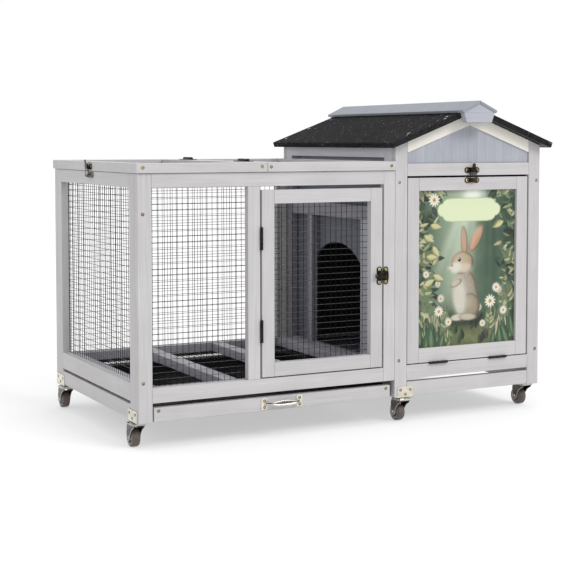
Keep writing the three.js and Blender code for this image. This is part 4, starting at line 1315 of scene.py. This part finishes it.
def paint_forest(canvas):
    """A dim wood with light falling through a gap in the leaves on to a path."""
    u, v = canvas.u / canvas.width, canvas.v / canvas.height
    canvas.colour[:] = [linear(c) * INK_DEPTH for c in (76, 98, 82)]
    canvas.lay(canvas.haze(3, 150) ** 1.6 * 0.5, (54, 74, 62))
    canvas.lay(canvas.haze(11, 60) ** 2 * 0.35, (108, 128, 102))
    glow = np.exp(-((u - 0.36) / 0.2) ** 2) * (0.3 + 0.7 * v)
    canvas.lay(glow * 0.78, (166, 184, 158))
    for top, spread, lean, strength in ((0.55, 0.05, 0.36, 0.8), (0.6, 0.03, 0.16, 0.45),
                                        (0.52, 0.035, 0.6, 0.55)):
        middle = top - lean * (1 - v)
        shaft = np.exp(-((u - middle) / (spread * (2.4 - 1.4 * v))) ** 2)
        canvas.lay(shaft * np.clip(v * 1.5 - 0.3, 0, 1) * strength, (212, 222, 200))
    gap = np.exp(-((u - 0.57) / 0.13) ** 2 - ((v - 1.0) / 0.09) ** 2)
    canvas.lay(gap * 0.95, (246, 250, 238))
    for cu, wide, dark, lean in ((232, 15, 0.7, 3), (206, 7, 0.45, -3), (176, 5, 0.28, 2),
                                 (18, 11, 0.6, -3)):
        trunk = np.exp(-((canvas.u - cu - lean * canvas.v / 100) / wide) ** 4)
        canvas.lay(trunk * dark * np.clip(v * 1.6 - 0.2, 0, 1), (52, 70, 58))
    ground = soft_step(74 + 8 * np.sin(canvas.u / 31) - canvas.v, 16)
    canvas.lay(ground * 0.9, (62, 74, 52))
    canvas.disc(146, 12, 62, 28, (134, 138, 98), soft=22, strength=0.85)
    canvas.lay(canvas.haze(8, 30) * ground * 0.4, (44, 56, 38))


LEAF_DARK, LEAF_MID = (36, 50, 40), (70, 90, 66)
LEAF_PALE, LEAF_DRY = (148, 156, 116), (204, 196, 156)


def blend(one, two, share):
    return [a + (b - a) * share for a, b in zip(one, two)]


def leaf_tint(rng, depth):
    """Leaf colour for a layer: 0 is the deepest and 1 the nearest."""
    tint = blend(LEAF_DARK, LEAF_MID, min(1, depth * 1.7))
    tint = blend(tint, LEAF_PALE, max(0, depth * 1.6 - 0.75))
    if rng.random() < 0.26 * depth:
        tint = blend(tint, LEAF_DRY, 0.75)
    return [c + rng.uniform(-8, 8) for c in tint]


def paint_leaves(canvas):
    """Layers of leaves round the edges, thickest at the sides and the foot."""
    rng = random.Random(17)
    layers, leaves, grasses = 5, 74, 150
    for layer in range(layers):
        depth = layer / (layers - 1)
        size = 30 - 3.2 * layer
        for _ in range(leaves):
            side = rng.random()
            if side < 0.36:
                foot = (rng.triangular(-6, 46, 0), rng.uniform(60, 330))
                aim = rng.uniform(-50, 75)
            elif side < 0.66:
                foot = (rng.triangular(214, 262, 258), rng.uniform(50, 335))
                aim = rng.uniform(110, 225)
            elif side < 0.76:
                foot = (rng.choice((rng.uniform(0, 70), rng.uniform(200, 256))), 338)
                aim = rng.uniform(210, 330)
            else:
                foot = (rng.uniform(0, 256), rng.triangular(-8, 60, 0))
                aim = rng.uniform(55, 125)
            if 92 < foot[0] < 200 and foot[1] < 40 and layer > 1:
                continue
            length = size * rng.uniform(0.6, 1.15)
            canvas.blade(foot[0], foot[1], length, length * rng.uniform(0.13, 0.22), aim,
                         leaf_tint(rng, depth), rng.uniform(-0.25, 0.25))
    for _ in range(grasses):
        cu = rng.choice((rng.triangular(0, 96, 40), rng.triangular(168, 256, 210)))
        canvas.blade(cu, rng.uniform(10, 64), rng.uniform(20, 44), rng.uniform(0.8, 1.7),
                     rng.uniform(72, 108), leaf_tint(rng, rng.uniform(0.3, 1)),
                     rng.uniform(-0.3, 0.3))


def frond(canvas, rng, cu, cv, length, aim, depth):
    """A fern frond: paired leaflets that shrink towards the tip of a bending stem."""
    turn = aim
    steps = 13
    bend = rng.uniform(-3.5, 3.5)
    for i in range(steps):
        share = i / steps
        cu += math.cos(math.radians(turn)) * length / steps
        cv += math.sin(math.radians(turn)) * length / steps
        turn += bend
        reach = length * 0.3 * (1 - share) + 3
        for side in (-1, 1):
            canvas.blade(cu, cv, reach, reach * 0.17, turn + side * 58, leaf_tint(rng, depth),
                         vein=0.15)


def paint_near_plants(canvas):
    rng = random.Random(5)
    for cu, cv, length, aim in ((8, 96, 74, 62), (30, 60, 66, 98), (246, 84, 72, 118),
                                (226, 50, 62, 84), (2, 180, 60, 40), (254, 176, 58, 140),
                                (70, 30, 48, 84), (190, 28, 50, 100)):
        frond(canvas, rng, cu, cv, length, aim, 0.72)
    for cu, cv, length, width, aim in (
            (18, -4, 62, 11, 66), (36, -8, 58, 12, 92), (6, 6, 66, 10, 96), (58, -6, 40, 8, 76),
            (238, -6, 56, 11, 112), (218, -8, 48, 10, 96), (252, 10, 60, 10, 100),
            (196, -6, 36, 7, 84)):
        canvas.blade(cu, cv, length, width, aim, (58, 82, 62), rng.uniform(-0.12, 0.12), 0.5)
        canvas.blade(cu + 2, cv, length * 0.8, width * 0.45, aim + 2, (110, 132, 96), 0, 0.4, 0.6)
    for cu, cv, turn in ((46, 258, -20), (30, 236, -38), (52, 212, -64), (36, 190, -12),
                         (54, 150, -34), (30, 128, 18), (228, 296, 214), (214, 312, 232),
                         (236, 262, 200)):
        canvas.blade(cu - 14, cv + 6, 31, 8.5, turn, (120, 128, 88), 0.1, 0.5)
        canvas.blade(cu - 12, cv + 6, 27, 6, turn + 3, (196, 190, 142), 0.1, 0.3)


def daisy(canvas, cu, cv, size, tint=(238, 236, 218)):
    petals = 12
    for k in range(petals):
        turn = k * 360 / petals + cu
        canvas.blade(cu, cv, size, size * 0.17, turn, (188, 186, 166), 0, 0)
        canvas.blade(cu, cv, size * 0.96, size * 0.13, turn, tint, 0, 0.1)
    canvas.disc(cu, cv, size * 0.25, size * 0.25, (206, 158, 62))
    canvas.disc(cu + 0.5, cv - 0.6, size * 0.15, size * 0.13, (168, 116, 42))


def fur(canvas, seed, cu, cv, ru, rv, turn, levels, count, length=5.0, flow=-90):
    """Short strokes inside an ellipse, so that a coat looks like hair."""
    rng = random.Random(seed)
    c, s = math.cos(math.radians(turn)), math.sin(math.radians(turn))
    for _ in range(count):
        angle, radius = rng.uniform(0, 2 * math.pi), math.sqrt(rng.random()) * 0.94
        a, b = ru * radius * math.cos(angle), rv * radius * math.sin(angle)
        tint = [v + rng.uniform(-20, 16) for v in levels]
        canvas.blade(cu + a * c - b * s, cv + a * s + b * c, length, 0.8,
                     flow + rng.uniform(-25, 25), tint, 0, 0, 0.5)


def paint_rabbit(canvas):
    """A plain wild rabbit that sits up among the grass, with one ear turned."""
    shade, coat, pale, white = (104, 90, 74), (172, 154, 128), (204, 194, 172), (222, 217, 202)
    canvas.disc(122, 50, 46, 9, (38, 48, 34), soft=6, strength=0.7)

    def lump(cu, cv, ru, rv, turn=0, levels=coat, light=pale):
        soft = min(ru, rv)
        canvas.disc(cu, cv, ru, rv, shade, turn, 1.1)
        canvas.disc(cu - ru * 0.08, cv + rv * 0.06, ru * 0.86, rv * 0.88, levels, turn, soft * 0.16)
        canvas.disc(cu - ru * 0.26, cv + rv * 0.3, ru * 0.5, rv * 0.5, light, turn, soft * 0.3, 0.5)

    canvas.disc(158, 80, 9, 8.5, (204, 200, 186), soft=1.6)
    lump(152, 232, 12.5, 33, -30)
    canvas.disc(151, 230, 7.6, 26, (206, 166, 138), -30, 2.2)
    canvas.disc(154, 226, 4, 20, (174, 130, 106), -30, 2.4, 0.6)
    lump(126, 112, 31, 55, 7, levels=(160, 152, 136), light=(190, 186, 172))
    fur(canvas, 1, 128, 112, 27, 50, 7, (164, 156, 138), 240, 7)
    lump(136, 84, 27, 28, -8, levels=(152, 142, 124))
    fur(canvas, 2, 136, 86, 23, 24, -8, (158, 148, 128), 120, 6)
    canvas.disc(108, 108, 17, 42, (206, 202, 188), 5, 5)
    fur(canvas, 3, 108, 108, 14, 38, 5, (210, 206, 192), 120, 7)
    lump(120, 226, 8.6, 33, 4)
    canvas.disc(119.5, 224, 4.4, 26, (196, 158, 132), 4, 1.8)
    lump(116, 180, 29, 25, 8, levels=(178, 158, 130))
    fur(canvas, 4, 116, 182, 25, 20, 8, (188, 168, 140), 150, 5, -60)
    canvas.disc(100, 170, 15, 12, white, 12, 3.6)
    canvas.disc(122, 168, 16, 11, (214, 204, 184), 0, 4.5, 0.8)
    canvas.disc(108, 187, 5.2, 6, (214, 200, 174), 0, 1.2)
    canvas.disc(108, 187, 4.1, 4.9, (34, 26, 22), 0, 0.8)
    canvas.disc(106.6, 189, 1.4, 1.5, (244, 242, 234), 0, 0.5)
    canvas.disc(88.6, 175, 2.6, 2.0, (156, 104, 94), 0, 0.7)
    canvas.blade(89, 173, 7, 0.5, -62, (110, 90, 76), 0, 0)
    for turn in (170, 182, 194):
        canvas.blade(93, 170, 20, 0.4, turn, (240, 238, 228), 0.05, 0, 0.6)
    lump(100, 136, 15, 7, 26, levels=(186, 180, 164))
    fur(canvas, 6, 100, 136, 12, 5, 26, (198, 192, 176), 30, 4, 200)
    lump(106, 60, 20, 7.5, 4, levels=(206, 202, 188))
    lump(132, 60, 24, 8, -2, levels=(186, 180, 162))


def paint_plaque(canvas):
    """A blank plaque with lobed ends."""
    a, b = np.abs(canvas.u - 133), np.abs(canvas.v - 295.5)
    body = np.minimum(50 - a, 24.6 - b)
    for du, dv, radius in ((54, 8.5, 15.2), (68, 0, 13.5)):
        body = np.maximum(body, radius - np.hypot(a - du, b - dv))
    canvas.lay(soft_step(body + 1.2, 0.9), (166, 182, 138))
    canvas.lay(soft_step(body, 0.9), (224, 234, 196))
    canvas.lay(soft_step(body, 0.9) * canvas.haze(5, 190) * 0.12, (206, 222, 174))


def paint_picture(width, height):
    canvas = Canvas(width, height, PICTURE_STEP)
    paint_forest(canvas)
    paint_leaves(canvas)
    for cu, cv, size in ((60, 104, 10), (214, 116, 10), (52, 136, 8)):
        daisy(canvas, cu, cv, size, (216, 214, 196))
    paint_near_plants(canvas)
    paint_rabbit(canvas)
    for cu, cv, size in ((55, 76, 13), (190, 92, 16), (206, 122, 12), (80, 52, 10), (226, 70, 11),
                         (42, 318, 16), (22, 158, 9), (170, 44, 9)):
        daisy(canvas, cu, cv, size)
    paint_plaque(canvas)
    return canvas


def make_picture():
    """The flap's panel: a fine grid that carries the ink, with a plain rim and back."""
    x, y, z = extent("flap_panel")
    canvas = paint_picture(x[1] - x[0], z[1] - z[0])
    rows, columns = canvas.rows, canvas.columns
    front = np.stack([canvas.u, canvas.v, np.zeros_like(canvas.u)], -1).reshape(-1, 3)
    grid = np.arange(rows * columns).reshape(rows, columns)
    rim = np.concatenate([grid[0], grid[1:, -1], grid[-1, -2::-1], grid[-2:0:-1, 0]]).tolist()
    back = [len(front) + i for i in range(len(rim))]
    local = np.concatenate([front, front[rim] + [0, 0, y[1] - y[0]]]) + [x[0], z[0], y[0]]
    faces = [(k, k + 1, k + columns + 1, k + columns) for k in grid[:-1, :-1].ravel().tolist()]
    printed = len(faces)
    faces += zip(rim, back, back[1:] + back[:1], rim[1:] + rim[:1])
    faces.append(back)
    data = bpy.data.meshes.new("flap_picture")
    data.from_pydata([FRONT @ Vector(p) for p in local], [], faces)
    ink = data.color_attributes.new("ink", "FLOAT_COLOR", "POINT")
    colours = canvas.colour.reshape(-1, 3)
    inks = np.ones((len(local), 4), np.float32)
    inks[:, :3] = np.concatenate([colours, colours[rim]])
    ink.data.foreach_set("color", inks.ravel())
    data.materials.append(INK)
    data.materials.append(BACKING)
    data.polygons.foreach_set("material_index", [0] * printed + [1] * (len(faces) - printed))
    settle("flap_picture", data, "house_flap", ["flap_panel"])


# ---------------------------------------------------------------- camera, floor and light
CAMERA_AT = (-908.2, -2416.0, 594.6)
CAMERA_DOWN, CAMERA_TURN = 3.31, -27.75
# Each sun's strength, its width, and how far it leans and turns, in degrees.
SUNS = {"key": (1.35, 24, 48, 24), "top": (0.35, 30, 8, 20)}


def make_camera():
    data = bpy.data.cameras.new("camera")
    data.sensor_width = 36
    data.lens = 83.85
    data.shift_x = -0.030
    data.shift_y = -0.1206
    camera = bpy.data.objects.new("camera", data)
    camera.location = ORIGIN + Vector(CAMERA_AT) * MM
    camera.rotation_euler = (math.radians(90 - CAMERA_DOWN), 0, math.radians(CAMERA_TURN))
    bpy.context.scene.collection.objects.link(camera)
    bpy.context.scene.camera = camera


def make_stage():
    """A pale floor that glows a little, so that the shadows on it stay soft and light."""
    bpy.ops.mesh.primitive_plane_add(size=60, location=(0, 0, -0.0005))
    ground = bpy.context.object
    ground.name = "studio_floor"
    shader = Shader("studio_floor", 0.9, specular=0.0)
    shader.colour((0.42, 0.42, 0.42, 1))
    shader.bsdf.inputs["Emission Color"].default_value = (1, 1, 1, 1)
    shader.bsdf.inputs["Emission Strength"].default_value = 0.5
    ground.data.materials.append(shader.material)


def make_lights():
    world = bpy.data.worlds.new("studio")
    bpy.context.scene.world = world
    world.use_nodes = True
    background = world.node_tree.nodes["Background"]
    background.inputs["Color"].default_value = (0.985, 0.99, 1, 1)
    background.inputs["Strength"].default_value = 1.02
    for name, (energy, width, lean, turn) in SUNS.items():
        sun = bpy.data.lights.new(name, "SUN")
        sun.energy = energy
        sun.color = (1.0, 0.985, 0.965)
        sun.angle = math.radians(width)
        lamp = bpy.data.objects.new(name, sun)
        lamp.rotation_euler = (math.radians(lean), 0, math.radians(turn))
        bpy.context.scene.collection.objects.link(lamp)
    bpy.context.scene.view_settings.view_transform = "Standard"


for make in (make_run_frames, make_skirts, make_leaves, make_floor, make_wire,
             make_house_front, make_partition, make_right_wall, make_back_wall, make_roof,
             make_ridge_cap, make_screws, make_hinges, make_latches, make_tray, make_handle,
             make_casters, make_picture, make_camera, make_stage, make_lights):
    make()
